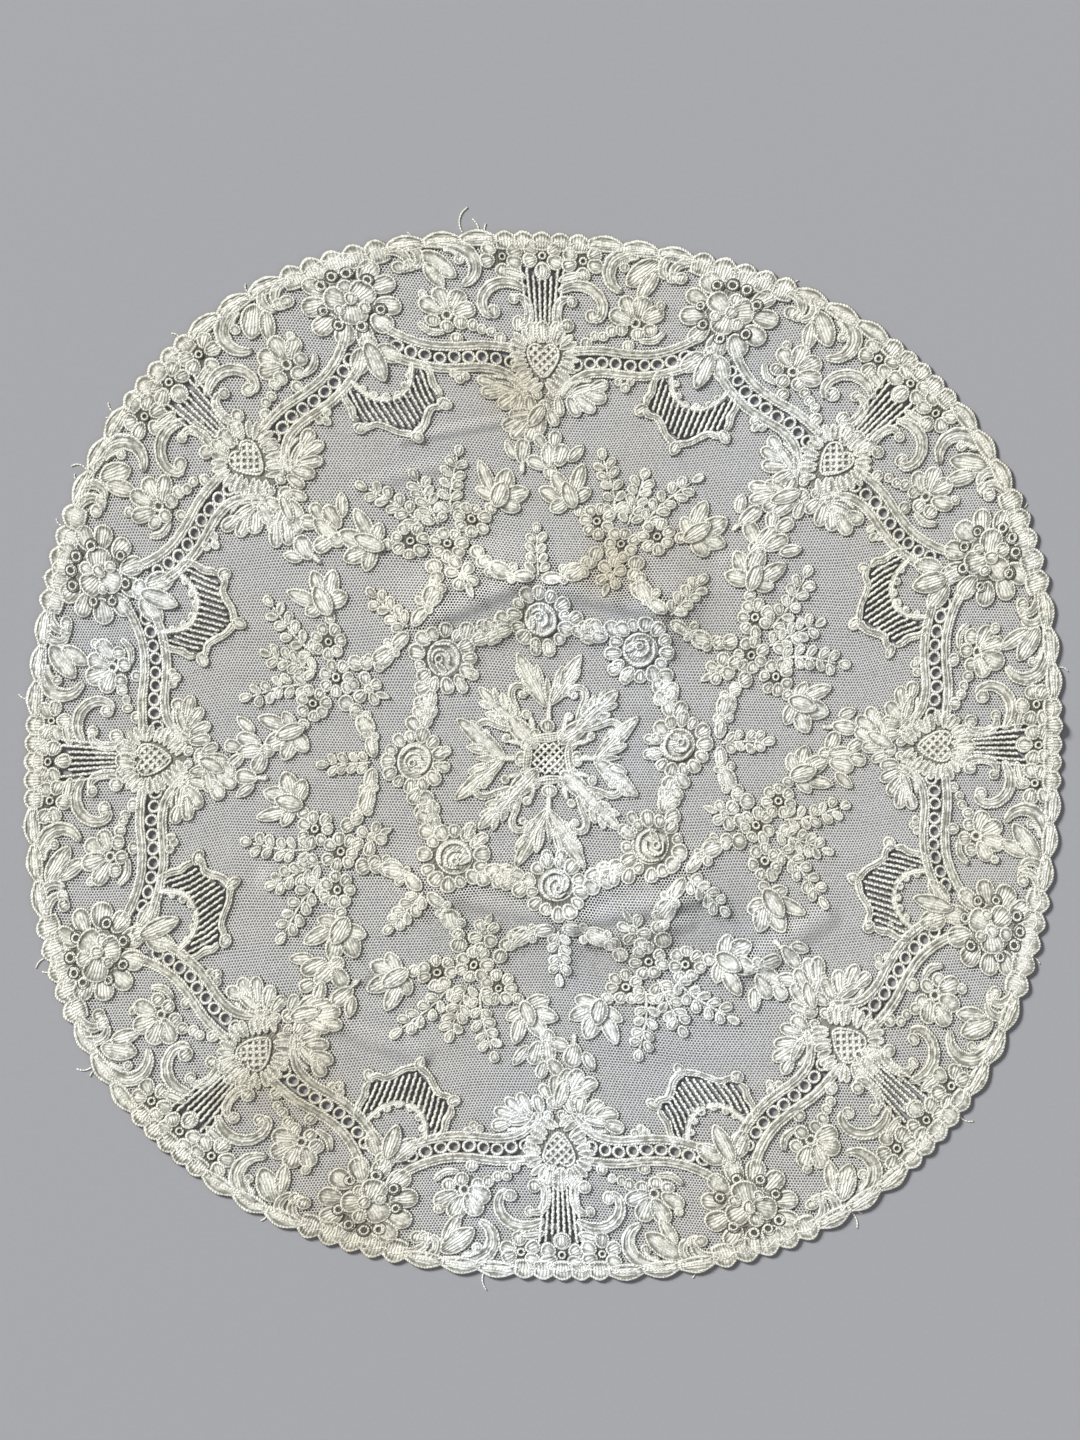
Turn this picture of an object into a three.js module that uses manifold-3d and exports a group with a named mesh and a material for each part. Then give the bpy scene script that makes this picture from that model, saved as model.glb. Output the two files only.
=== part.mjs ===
// A round ivory lace mat: a net ground with raised corded embroidery and a scalloped edge.
// It lies on a table, nearly flat, with a few soft folds. Millimetres, +Z up, top of the pattern at +Y.
import * as THREE from 'three';
import { mergeVertices } from 'three/addons/utils/BufferGeometryUtils.js';
import Module from 'manifold-3d';

// Driving sizes of the sheet
const MEAN_RADIUS = 170;
const REPEATS = 8;
const REPEAT_ANGLE = 360 / REPEATS;
const NET_THICKNESS = 1.0;
const LEAF_RISE = 1.0;
const CORD_RISE = 0.8;
const HIGH_RISE = 1.6;
const ROOT_DEPTH = 0.6;

// The scalloped edge: a thick corded band outside the net
const EDGE_NOTCH_RADIUS = MEAN_RADIUS - 1.4;
const EDGE_BAND_RADIUS = MEAN_RADIUS - 5.5;
const EDGE_BAND_SIDES = 32;
const NET_RADIUS = MEAN_RADIUS - 3.5;

// The net is laid out in sectors and rings, closer together where it is folded
const NET_SECTORS = 32;
const NET_RINGS = [0, 33, 44, 55, 66, 80, NET_RADIUS];

// The inner garlands sit a little turned against the border
const INNER_TURN = 3.2;
const CORNER_TURN = -REPEAT_ANGLE / 2;
const SPRAY_TURN = INNER_TURN + CORNER_TURN;

// How the round mat lies out of round: lobes, their share of the radius, and where the first one points
const OUT_OF_ROUND = [
  { lobes: 4, share: 0.03, peak: 40.5 },
  { lobes: 2, share: 0.0073, peak: -65.5 },
  { lobes: 1, share: 0.0116, peak: -146 },
];

// Soft folds: the crest runs from (x0, y0) to (x1, y1) and fades out over the half width
const FOLDS = [
  { x0: -36, y0: 42, x1: -8, y1: 54, halfWidth: 21, height: 2.5 },
  { x0: -8, y0: 54, x1: 36, y1: 44, halfWidth: 21, height: 2.5 },
  { x0: -34, y0: -45, x1: 8, y1: -54, halfWidth: 21, height: 2.2 },
  { x0: 8, y0: -54, x1: 46, y1: -46, halfWidth: 21, height: 2.2 },
];

// Scallops of one repeat of the edge, from the first petal over the vase onwards
const EDGE_SCALLOPS = [
  { name: 'vase petals', count: 5, width: 6, depth: 1.4 },
  { name: 'long arcs', count: 3, width: 11.5, depth: 2.0 },
  { name: 'flower petals', count: 5, width: 7, depth: 2.0 },
  { name: 'long arcs', count: 3, width: 11.5, depth: 2.0 },
];
const SCALLOP_POINTS = 3;

// The border beside a vase, on one side of its axis. Aims are clockwise from outwards.
const BORDER_LEAVES = [
  { x: 26, y: 156, length: 13, width: 6, aim: 25 },
  { x: 14, y: 115.5, length: 15, width: 8, aim: 62 },
];
const BORDER_BLOOMS = [
  { x: 29, y: 142, radius: 7.2, petals: 4 },
];
const BORDER_SCROLLS = [
  { name: 'vase scroll', x: 13, y: 146.8, radius: 6.6, from: 165, to: -60, wide: 3.2, thin: 2.4, steps: 4 },
];
const VASE_FLOWER = { x: 0, y: 161, length: 7, width: 9, aim: 0 };

// The bead band, from the heart to below the big flower
const BEAD_BAND = [
  { x: 9, y: 126.5 },
  { x: 36, y: 126.5 },
  { x: 51, y: 132.5 },
];
const BEAD_BAND_WIDTH = 11;

// The vase: thread bars that fan out from its foot
const VASE_BARS = 4;
const VASE_FOOT = { y: 139, width: 5 };
const VASE_MOUTH = { y: 157, width: 11 };
const VASE_BAR_WIDTH = 1.4;

// The heart on its shield
const SHIELD = { x: 0, y: 127, length: 22, width: 20, aim: 0 };
const HEART = { y: 121.5, width: 11.5, height: 11.5 };
const HEART_STEPS = 2;

// The big flower and the striped canopy, on the axis between two vases
const BIG_FLOWER = { y: 154, radius: 14, petals: 8 };
const BIG_FLOWER_HEART = { x: 0, y: 154, length: 11, width: 11, aim: 0, rise: HIGH_RISE };
const CANOPY_SIDE = [
  { x: 0, y: 104.5 },
  { x: 4.5, y: 110.5 },
  { x: 10, y: 115 },
  { x: 15, y: 112.5 },
  { x: 15, y: 126 },
  { x: 9, y: 126 },
  { x: 5, y: 120.5 },
];
const CANOPY_BARS = [
  { x: 4.5, top: 119.5, foot: 112 },
];
const CANOPY_BAR_WIDTH = 1.4;
const CANOPY_BUD = { x: 0, y: 131, length: 13, width: 5, aim: 180 };

// Leaf cluster under each heart, leaning to one side, and the sprig below it
const HEART_LEAVES = [
  { x: -4, y: 107, length: 11, width: 14, aim: -10 },
  { x: -1, y: 96.5, length: 10, width: 16, aim: 0 },
];

// One flower spray about its own axis; side rows lie on both sides of it
const SPRAY_FRONDS = [
  { x0: 0, y0: 76, x1: 0, y1: 95.5, pairs: 3, reach: 4.4 },
  { x0: 3.4, y0: 80, x1: 17, y1: 98, pairs: 3, reach: 4.2 },
  { x0: -3.4, y0: 80, x1: -17, y1: 98, pairs: 3, reach: 4.2 },
];
const SPRAY_SIDE_BLOOMS = [
  { x: 10, y: 75.2, radius: 6.2, petals: 4 },
  { x: 22.5, y: 82, radius: 8, petals: 3 },
];
const SPRAY_BLOOMS = [
  { x: 0, y: 67, radius: 6.4, petals: 4 },
];

// The fern sprig, the rose and its leaves, on the axis between two sprays
const FERN_SPRIG = { x0: 0, y0: 56, x1: 0, y1: 74, pairs: 3, reach: 4.2 };
const ROSE = { y: 43.5, radius: 9.6, petals: 6, rise: HIGH_RISE };
const WREATH_LEAVES = [
  { x: 14.5, y: 39, length: 11, width: 5, aim: 110 },
];

// The star in the middle: four pairs of long leaves, and four scrolled arms between them
const STAR_ARMS = 4;
const STAR_LEAVES = [
  { x: 5.6, y: 25.5, length: 18, width: 7.5, aim: 28 },
  { x: -5.6, y: 25.5, length: 18, width: 7.5, aim: -28 },
  { x: 0, y: 13.5, length: 13, width: 4, aim: 0 },
];
const STAR_ARM_LEAVES = [
  { x: 0, y: 23.5, length: 16, width: 9, aim: 0 },
  { x: 0, y: 11, length: 15, width: 7, aim: 0 },
];
const STAR_SQUARE = { x: 0, y: 0, length: 13, width: 13, aim: 45, sides: 4 };

const LEAF_SIDES = 5;
const PETAL_NOTCH = 0.75;
const FROND_NECK = 0.3;
const FROND_TOOTH = 0.7;

const wasm = await Module();
wasm.setup();
const radians = THREE.MathUtils.degToRad;

// Height of the folds at a place on the table
function foldHeight(x, y) {
  let highest = 0;
  for (const fold of FOLDS) {
    const dx = fold.x1 - fold.x0;
    const dy = fold.y1 - fold.y0;
    const share = ((x - fold.x0) * dx + (y - fold.y0) * dy) / (dx * dx + dy * dy);
    const along = THREE.MathUtils.clamp(share, 0, 1);
    const away = Math.hypot(x - fold.x0 - along * dx, y - fold.y0 - along * dy);
    if (away < fold.halfWidth) {
      const slope = Math.cos((Math.PI / 2) * (away / fold.halfWidth));
      highest = Math.max(highest, fold.height * slope * slope);
    }
  }
  return highest;
}

// Takes a geometry of the flat round pattern to the place where the mat lies
function lay(geometry) {
  const position = geometry.attributes.position;
  for (let i = 0; i < position.count; i++) {
    const angle = Math.atan2(position.getY(i), position.getX(i));
    let stretch = 1;
    for (const { lobes, share, peak } of OUT_OF_ROUND) {
      stretch += share * Math.cos(lobes * (angle - radians(peak)));
    }
    const x = position.getX(i) * stretch;
    const y = position.getY(i) * stretch;
    position.setXYZ(i, x, y, position.getZ(i) + foldHeight(x, y));
  }
  return geometry;
}

function toSolid(geometry) {
  geometry.deleteAttribute('normal');
  geometry.deleteAttribute('uv');
  const merged = mergeVertices(geometry, 1e-4);
  const mesh = new wasm.Mesh({
    numProp: 3,
    vertProperties: Float32Array.from(merged.attributes.position.array),
    triVerts: Uint32Array.from(merged.index.array),
  });
  return new wasm.Manifold(mesh);
}

// Copies a flat motif round the mat
const solids = [];
function repeatRound(geometry, turn = 0, count = REPEATS) {
  for (let i = 0; i < count; i++) {
    const copy = geometry.clone().rotateZ(radians(turn + (i * 360) / count));
    solids.push(toSolid(lay(copy)));
  }
}

function bothSides(rows) {
  const otherSide = rows.map((row) => ({ ...row, x: -row.x, aim: -row.aim }));
  return [...rows, ...otherSide];
}

// A low padded cone, rooted in the net, whose foot on the net has the given half sizes
function pad(sides, halfWidth, halfLength, rise) {
  const height = rise + ROOT_DEPTH;
  const spread = height / rise;
  const cone = new THREE.ConeGeometry(1, height, sides);
  cone.rotateX(Math.PI / 2).rotateZ(Math.PI);
  cone.translate(0, 0, NET_THICKNESS - ROOT_DEPTH + height / 2);
  return cone.scale(halfWidth * spread, halfLength * spread, 1);
}

function leaf({ x, y, length, width, aim, rise = LEAF_RISE, sides = LEAF_SIDES }) {
  return pad(sides, width / 2, length / 2, rise).rotateZ(-radians(aim)).translate(x, y, 0);
}

// A flower seen from above: every second point of its foot is drawn in between two petals
function bloom({ x = 0, y, radius, petals, rise = LEAF_RISE }) {
  const flower = pad(2 * petals, radius, radius, rise);
  const position = flower.attributes.position;
  for (let i = 0; i < position.count; i++) {
    const place = (Math.atan2(position.getY(i), position.getX(i)) - Math.PI / 2) / (Math.PI / petals);
    const drawnIn = Math.abs(Math.round(place)) % 2 === 1 ? PETAL_NOTCH : 1;
    position.setXY(i, position.getX(i) * drawnIn, position.getY(i) * drawnIn);
  }
  return flower.translate(x, y, 0);
}

function plate(outline, rise = CORD_RISE) {
  const shape = new THREE.Shape(outline.map(({ x, y }) => new THREE.Vector2(x, y)));
  const slab = new THREE.ExtrudeGeometry(shape, { depth: ROOT_DEPTH + rise, bevelEnabled: false });
  return slab.translate(0, 0, NET_THICKNESS - ROOT_DEPTH);
}

// A flat cord along a line of points, each with its own width
function cord(points) {
  const left = [];
  const right = [];
  points.forEach(({ x, y, width }, i) => {
    const before = points[Math.max(i - 1, 0)];
    const after = points[Math.min(i + 1, points.length - 1)];
    const way = new THREE.Vector2(after.x - before.x, after.y - before.y).setLength(width / 2);
    left.push({ x: x - way.y, y: y + way.x });
    right.unshift({ x: x + way.y, y: y - way.x });
  });
  return plate([...left, ...right]);
}

function otherWay(points) {
  return points.map((point) => ({ ...point, x: -point.x }));
}

function scroll({ x, y, radius, from, to, wide, thin, steps }) {
  const points = [];
  for (let i = 0; i <= steps; i++) {
    const angle = radians(THREE.MathUtils.lerp(from, to, i / steps));
    const width = THREE.MathUtils.lerp(wide, thin, i / steps);
    points.push({ x: x + radius * Math.cos(angle), y: y + radius * Math.sin(angle), width });
  }
  return points;
}

// A frond: leaf pairs along a stem, wide at each pair and narrow between them, with a leaf at the tip
function frond({ x0, y0, x1, y1, pairs, reach }) {
  const points = [];
  const place = (along, width) => {
    const share = along / (pairs + 1);
    points.push({ x: x0 + (x1 - x0) * share, y: y0 + (y1 - y0) * share, width });
  };
  for (let i = 0; i < pairs; i++) {
    place(i, 2 * reach * FROND_NECK);
    place(i + FROND_TOOTH, 2 * reach);
  }
  place(pairs, 2 * reach * FROND_NECK);
  place(pairs + 1, reach * FROND_NECK);
  return cord(points);
}

// The net disc: rim and both faces in rings, so that it can follow the folds
function netDisc() {
  const under = NET_RINGS.map((radius) => new THREE.Vector2(radius, 0));
  const over = NET_RINGS.map((radius) => new THREE.Vector2(radius, NET_THICKNESS)).reverse();
  return new THREE.LatheGeometry([...under, ...over], NET_SECTORS).rotateX(Math.PI / 2);
}

// The edge band: petals and long arcs outside, a plain round line inside
function edgeBand() {
  const repeatLength = EDGE_SCALLOPS.reduce((sum, { count, width }) => sum + count * width, 0);
  const outline = [];
  const firstPetals = EDGE_SCALLOPS[0].count * EDGE_SCALLOPS[0].width;
  for (let repeat = 0; repeat < REPEATS; repeat++) {
    let walked = repeat * repeatLength - firstPetals / 2;
    for (const { count, width, depth } of EDGE_SCALLOPS) {
      for (let i = 0; i < count * SCALLOP_POINTS; i++) {
        const share = i / SCALLOP_POINTS;
        const radius = EDGE_NOTCH_RADIUS + depth * Math.abs(Math.sin(Math.PI * share));
        const angle = radians(90 - ((walked + share * width) / repeatLength) * REPEAT_ANGLE);
        outline.push(new THREE.Vector2(radius * Math.cos(angle), radius * Math.sin(angle)));
      }
      walked += count * width;
    }
  }
  const inside = [];
  for (let i = 0; i < EDGE_BAND_SIDES; i++) {
    const angle = (2 * Math.PI * i) / EDGE_BAND_SIDES;
    inside.push(new THREE.Vector2(EDGE_BAND_RADIUS * Math.cos(angle), EDGE_BAND_RADIUS * Math.sin(angle)));
  }
  const band = new THREE.Shape(outline);
  band.holes.push(new THREE.Path(inside));
  return new THREE.ExtrudeGeometry(band, { depth: NET_THICKNESS + CORD_RISE, bevelEnabled: false });
}

function heart() {
  const { y, width, height } = HEART;
  const half = width / 2;
  const shoulder = y + height * 0.72;
  const crown = y + height * 1.1;
  const shape = new THREE.Shape();
  shape.moveTo(0, y);
  shape.bezierCurveTo(half * 0.5, y + 2, half, y + 4, half, shoulder);
  shape.bezierCurveTo(half, crown, 1, crown, 0, shoulder + 1);
  shape.bezierCurveTo(-1, crown, -half, crown, -half, shoulder);
  shape.bezierCurveTo(-half, y + 4, -half * 0.5, y + 2, 0, y);
  return plate(shape.getPoints(HEART_STEPS).slice(0, -1), HIGH_RISE);
}

function vase() {
  const bars = [];
  for (let i = 0; i < VASE_BARS; i++) {
    const share = i / (VASE_BARS - 1) - 0.5;
    const foot = { x: share * VASE_FOOT.width, y: VASE_FOOT.y, width: VASE_BAR_WIDTH };
    const mouth = { x: share * VASE_MOUTH.width, y: VASE_MOUTH.y, width: VASE_BAR_WIDTH };
    bars.push(cord([mouth, foot]));
  }
  return bars;
}

function bigFlower() {
  const { y, radius, petals } = BIG_FLOWER;
  const outline = [];
  for (let i = 0; i < 2 * petals; i++) {
    const angle = (Math.PI * i) / petals;
    const reach = radius * (i % 2 === 1 ? PETAL_NOTCH : 1);
    outline.push({ x: reach * Math.sin(angle), y: y + reach * Math.cos(angle) });
  }
  return [plate(outline), leaf(BIG_FLOWER_HEART)];
}

function canopy() {
  const outline = [...CANOPY_SIDE, ...otherWay(CANOPY_SIDE).slice(1).reverse()];
  const parts = [plate(outline), leaf(CANOPY_BUD)];
  for (const { x, top, foot } of CANOPY_BARS) {
    const half = CANOPY_BAR_WIDTH / 2;
    const bar = [
      { x: x - half, y: foot },
      { x: x + half, y: foot },
      { x: x + half, y: top },
      { x: x - half, y: top },
    ];
    parts.push(plate(bar, HIGH_RISE), plate(otherWay(bar), HIGH_RISE));
  }
  return parts;
}

function border() {
  const parts = bothSides(BORDER_LEAVES).map(leaf);
  parts.push(...bothSides(BORDER_BLOOMS).map(bloom));
  const band = BEAD_BAND.map((point) => ({ ...point, width: BEAD_BAND_WIDTH }));
  for (const points of [band, ...BORDER_SCROLLS.map(scroll)]) {
    parts.push(cord(points), cord(otherWay(points)));
  }
  parts.push(leaf(VASE_FLOWER), leaf(SHIELD), heart(), ...vase());
  return parts;
}

function spray() {
  const parts = SPRAY_FRONDS.map(frond);
  parts.push(...bothSides(SPRAY_SIDE_BLOOMS).map(bloom), ...SPRAY_BLOOMS.map(bloom));
  return parts;
}

function roseAndFern() {
  return [bloom(ROSE), frond(FERN_SPRIG), ...bothSides(WREATH_LEAVES).map(leaf)];
}

solids.push(toSolid(lay(netDisc())));
solids.push(toSolid(lay(edgeBand())));
border().forEach((part) => repeatRound(part));
[...bigFlower(), ...canopy()].forEach((part) => repeatRound(part, CORNER_TURN));
HEART_LEAVES.map(leaf).forEach((part) => repeatRound(part));
spray().forEach((part) => repeatRound(part, SPRAY_TURN));
roseAndFern().forEach((part) => repeatRound(part, INNER_TURN));
STAR_LEAVES.map(leaf).forEach((part) => repeatRound(part, 0, STAR_ARMS));
STAR_ARM_LEAVES.map(leaf).forEach((part) => repeatRound(part, 360 / STAR_ARMS / 2, STAR_ARMS));
solids.push(toSolid(lay(leaf(STAR_SQUARE))));

// One solid: everything is worked into the same net
const { vertProperties, triVerts } = solids.reduce((whole, part) => whole.add(part)).getMesh();
const laceGeometry = new THREE.BufferGeometry();
laceGeometry.setAttribute('position', new THREE.BufferAttribute(vertProperties, 3));
laceGeometry.setIndex(new THREE.BufferAttribute(triVerts, 1));
laceGeometry.computeBoundingBox();
const middle = laceGeometry.boundingBox.getCenter(new THREE.Vector3());
laceGeometry.translate(-middle.x, -middle.y, -laceGeometry.boundingBox.min.z);
laceGeometry.computeVertexNormals();

const ivoryThread = new THREE.MeshStandardMaterial({ color: 0xe1dec9, roughness: 0.9, metalness: 0 });
const laceMat = new THREE.Mesh(laceGeometry, ivoryThread);
laceMat.name = 'lace_mat';

const mat = new THREE.Group();
mat.add(laceMat);
export default mat;
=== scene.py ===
"""The looks of a round ivory lace mat on a pale floor: hexagon net, corded embroidery, scalloped edge.

Motifs are drawn in flat pattern millimetres, with +y pointing outwards along their own axis. They are
turned round the mat and then laid, with the same out-of-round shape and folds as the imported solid.
"""
import bpy
import math
import numpy as np
from functools import partial
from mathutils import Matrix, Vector
from mathutils.bvhtree import BVHTree
from typing import NamedTuple


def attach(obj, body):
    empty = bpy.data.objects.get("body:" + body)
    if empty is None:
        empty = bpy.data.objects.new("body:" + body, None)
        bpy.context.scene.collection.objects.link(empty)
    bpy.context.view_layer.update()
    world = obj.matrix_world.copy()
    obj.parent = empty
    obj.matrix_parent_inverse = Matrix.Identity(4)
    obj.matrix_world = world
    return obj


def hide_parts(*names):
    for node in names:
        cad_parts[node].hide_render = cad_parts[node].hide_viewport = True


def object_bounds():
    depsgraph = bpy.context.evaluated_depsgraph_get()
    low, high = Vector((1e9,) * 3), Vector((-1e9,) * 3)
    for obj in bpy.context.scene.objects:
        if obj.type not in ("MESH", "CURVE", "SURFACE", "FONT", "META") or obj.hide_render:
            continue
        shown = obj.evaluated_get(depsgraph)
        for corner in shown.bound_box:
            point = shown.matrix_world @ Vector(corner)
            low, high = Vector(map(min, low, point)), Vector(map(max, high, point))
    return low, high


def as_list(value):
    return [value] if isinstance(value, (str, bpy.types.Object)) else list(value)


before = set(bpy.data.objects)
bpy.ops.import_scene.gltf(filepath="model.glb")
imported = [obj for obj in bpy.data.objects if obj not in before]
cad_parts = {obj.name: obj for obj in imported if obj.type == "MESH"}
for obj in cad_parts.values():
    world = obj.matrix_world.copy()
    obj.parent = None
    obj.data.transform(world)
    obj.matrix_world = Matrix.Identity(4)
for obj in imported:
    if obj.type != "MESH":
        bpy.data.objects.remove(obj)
cad_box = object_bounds()
rng = np.random.default_rng(seed=11)

# Sizes that the mat shares with its solid, in millimetres and degrees
MM = 0.001
MEAN_RADIUS = 170.0
REPEATS = 8
REPEAT_ANGLE = 360 / REPEATS
INNER_TURN = 3.2
CORNER_TURN = -REPEAT_ANGLE / 2
SPRAY_TURN = INNER_TURN + CORNER_TURN
EDGE_NOTCH_RADIUS = MEAN_RADIUS - 1.4
NET_RADIUS = MEAN_RADIUS - 3.5

# The net's height over the floor, and heights of the stitching over the net, which its foot lies below
NET_LEVEL = 0.7
FOOT = -0.66
RISE = 0.64
HIGH_RISE = 0.95
STEM_RISE = 0.7 * RISE

# Stitching: shapes are worked fuller than drawn, with cords round a lower fill of fanned stitches
FULLNESS = 1.15
FILL_SHARE = 0.7
CORD = 0.8
STITCH_PITCH = 0.95
STITCH_FAN = 0.3

# The section of a padded shape: insets in millimetres, swells as shares of its rise, and shades from 0 to 1
PAD_RISES = (0.9, 1.1)
PAD_SPREAD = 0.15
PAD_SIDE = 0.03
PAD_SIDE_SHADE = 0.12
NARROW_CORD = 0.62
LEAST_CORD = 0.1
CORD_INSIDE = 1.1
HOLLOW_SHADE = 0.2
SMALL_PAD = 1.7
SMALL_PAD_SHADE = 0.5
FILL_SWELL = 0.12
FILL_SHADE = 0.7
FILL_REACH = 0.94
CROWN_SWELL = 0.22
CROWN_SHADE = 0.74
LEAST_REACH = 1e-6

# How unevenly leaves are worked, and how many points draw them
UNEVEN_SIZE = 0.05
UNEVEN_AIM = 4
UNEVEN_PLACE = 0.22
LEAF_SPINE = 0.92
LEAF_POINTS = 16
SMALL_LEAF = 5.2
SMALL_LEAF_POINTS = 12

# Low grounds painted dark as the shade of what surrounds them, with a painted shade below 0
GROUND_POINTS = 24
GROUND_RISE = 0.25
GROUND_CORD = 0.6
GROUND_LOBE = 0.08
GROUND_PAINTED_SHADE = -0.4

# The section of a ring
RING_POINTS = 14
RING_RISES = (0.9, 1.05)
RING_SLIP = 0.15
RING_SPREAD = 0.08
RING_SIDE = 0.55
RING_SIDE_SHADE = 0.25
RING_INSIDE = 0.45

# The section of a band, from its side to its middle: narrow bands are round, and wide ones have two cords
BAND_STEP = 1.15
BAND_RISES = (0.92, 1.08)
BAND_END = 0.6
WIDTH_SWAY = 0.05
WIDTH_SWAY_RATE = 1.7
WOBBLE_LENGTH = 2.1
SWAY_STARTS = (0, 6)
FULL_BAND = 1.5
FINE_BAND = 0.5
FINE_SHADES = (1, 1, 1)
ROUND_SPREAD = 0.05
ROUND_SHOULDER = 0.86
ROUND_DROP = 0.45
ROUND_SHADES = (0, 0.3, 1)
CORDED_BAND = 2.3
CORDED_SPREAD = 0.06
CORDED_SIDE = 0.04
CORDED_CREST = (0.42, 0.4)
CORDED_INSIDE = (1.0, 0.75)
CORDED_SWELL = 0.16
CORDED_SHADES = (0, 0.12, 1, 0.24, 0.72)

# Lines through routes, and threads that cross or run side by side
ROUTE_STEPS = 12
FINE_STEP = 0.25
THREAD_STEP = 0.6
THREAD_WOBBLE = 0.13
LATTICE_REACH = 1.5
LATTICE_STEP = 0.3
LATTICE_LEAST = 4
FLUTE_START = 0.4


class Lobes(NamedTuple):
    """One way in which the mat lies out of round."""
    lobes: int
    share: float
    peak: float


class Fold(NamedTuple):
    """A soft ridge along a line, which fades over its half width."""
    x0: float
    y0: float
    x1: float
    y1: float
    half_width: float
    height: float


class Scallops(NamedTuple):
    """A run of like scallops along the edge: how far they swell outwards and reach inwards."""
    number: int
    width: float
    swell: float
    reach_in: float


class Leaf(NamedTuple):
    """A padded petal, leaf or ball: its middle, size and the way it points, clockwise from outwards."""
    form: str
    x: float
    y: float
    length: float
    width: float
    aim: float = 0.0
    rise: float = RISE

    def mirrored(self):
        return self._replace(x=-self.x, aim=-self.aim)


class Ring(NamedTuple):
    """A corded eyelet."""
    x: float
    y: float
    radius: float
    hole: float
    rise: float = RISE

    def mirrored(self):
        return self._replace(x=-self.x)


class Band(NamedTuple):
    """A corded band along a smooth route, with its widths spread evenly along it."""
    widths: tuple
    route: tuple
    rise: float = RISE
    wobble: float = 0.0

    def mirrored(self):
        return self._replace(route=tuple((-x, y) for x, y in self.route))


class Frayed(NamedTuple):
    """A frayed thread end: degrees counter-clockwise from the right, length and how far it curls."""
    angle: float
    length: float
    curl: float


class Patch(NamedTuple):
    """A round place on the mat that fades outwards."""
    x: float
    y: float
    radius: float
    strength: float


class Cotton(NamedTuple):
    """The colours of one kind of thread, and the painted shade colour that it darkens to."""
    ivory: tuple
    cool_white: tuple
    stained: tuple
    shaded: tuple


class Lamp(NamedTuple):
    """A soft distant light: the place it shines from, its spread in degrees and its power."""
    name: str
    place: tuple
    softness: float
    power: float


ball, petal, leaf, blade = (partial(Leaf, form) for form in ("ball", "petal", "leaf", "blade"))


def paired(*rows):
    """Each row and, straight after it, the same on the other side of the axis."""
    return [side for row in rows for side in (row, row.mirrored())]


# How far the border has slipped round the mat, counter-clockwise, at each vase and big flower
SLIP_FROM = 105.0
SLIP_RAMP = 15
SLIPS = {
    0: 0.9, 22.5: 1.5, 45: 0.5, 67.5: 0.1, 90: 0.7, 112.5: 1.2, 135: 0.7, 157.5: 0.8,
    180: 1.0, 202.5: 1.6, 225: 0.7, 247.5: 0.5, 270: 1.6, 292.5: 1.5, 315: 0.8, 337.5: 0.9,
}
OUT_OF_ROUND = [
    Lobes(4, 0.03, 40.5),
    Lobes(2, 0.0073, -65.5),
    Lobes(1, 0.0116, -146),
]
FOLDS = [
    Fold(-36, 42, -8, 54, 21, 2.5),
    Fold(-8, 54, 36, 44, 21, 2.5),
    Fold(-34, -45, 8, -54, 21, 2.2),
    Fold(8, -54, 46, -46, 21, 2.2),
]

# Finer creases, on the folds and elsewhere
CREASES = [
    Fold(-36, 42, -8, 54, 4.5, 1.0),
    Fold(-8, 54, 36, 44, 4.5, 1.2),
    Fold(-40, 50, -14, 60, 3.5, 0.5),
    Fold(-34, -45, 8, -54, 4.5, 1.0),
    Fold(8, -54, 46, -46, 5, 1.2),
    Fold(12, -60, 44, -54, 4, 0.6),
    Fold(-46, 99, -14, 105, 3, 0.7),
    Fold(-60, 84, -30, 92, 4, 0.6),
    Fold(-88, -40, -58, -70, 6, 1.2),
    Fold(-70, -86, -40, -96, 5, 1.1),
    Fold(58, 60, 84, 30, 6, 1.0),
    Fold(148, 14, 163, 8, 5, 1.2),
    Fold(60, -70, 88, -52, 6, 1.1),
]

# How a leaf's outline is drawn: 0 is a plain oval, more is sharper at the ends; tapers over 0 widen its tip
POINT = {"ball": 0.0, "petal": 0.0, "leaf": 0.25, "blade": 0.5}
TAPER = {"ball": 0.0, "petal": 0.18, "leaf": -0.08, "blade": -0.25}

# Scallops of one repeat of the edge, from the first petal over a vase onwards, and the cord inside them
EDGE_SCALLOPS = [
    Scallops(5, 6.0, 1.4, 4.4),
    Scallops(3, 11.5, 2.0, 3.0),
    Scallops(5, 7.0, 2.0, 5.2),
    Scallops(3, 11.5, 2.0, 3.0),
]
EDGE_REPEAT = sum(row.number * row.width for row in EDGE_SCALLOPS)
EDGE_START = -EDGE_SCALLOPS[0].number * EDGE_SCALLOPS[0].width / 2
EDGE_CORD = 1.1
SCALLOP_STEPS = 6
SCALLOP_POINTS = 9
SCALLOP_OVERLAP = 0.5
SCALLOP_SPINE_END = 2
SCALLOP_INSIDE_SWELL = 0.4
LONG_SCALLOP = 10.0
INNER_CORD = 1.0
INNER_CORD_INSET = 2.5
INNER_CORD_SWELL = 0.8
INNER_CORD_STEP = 1.6
INNER_CORD_RISE = RISE + 0.1

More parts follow.
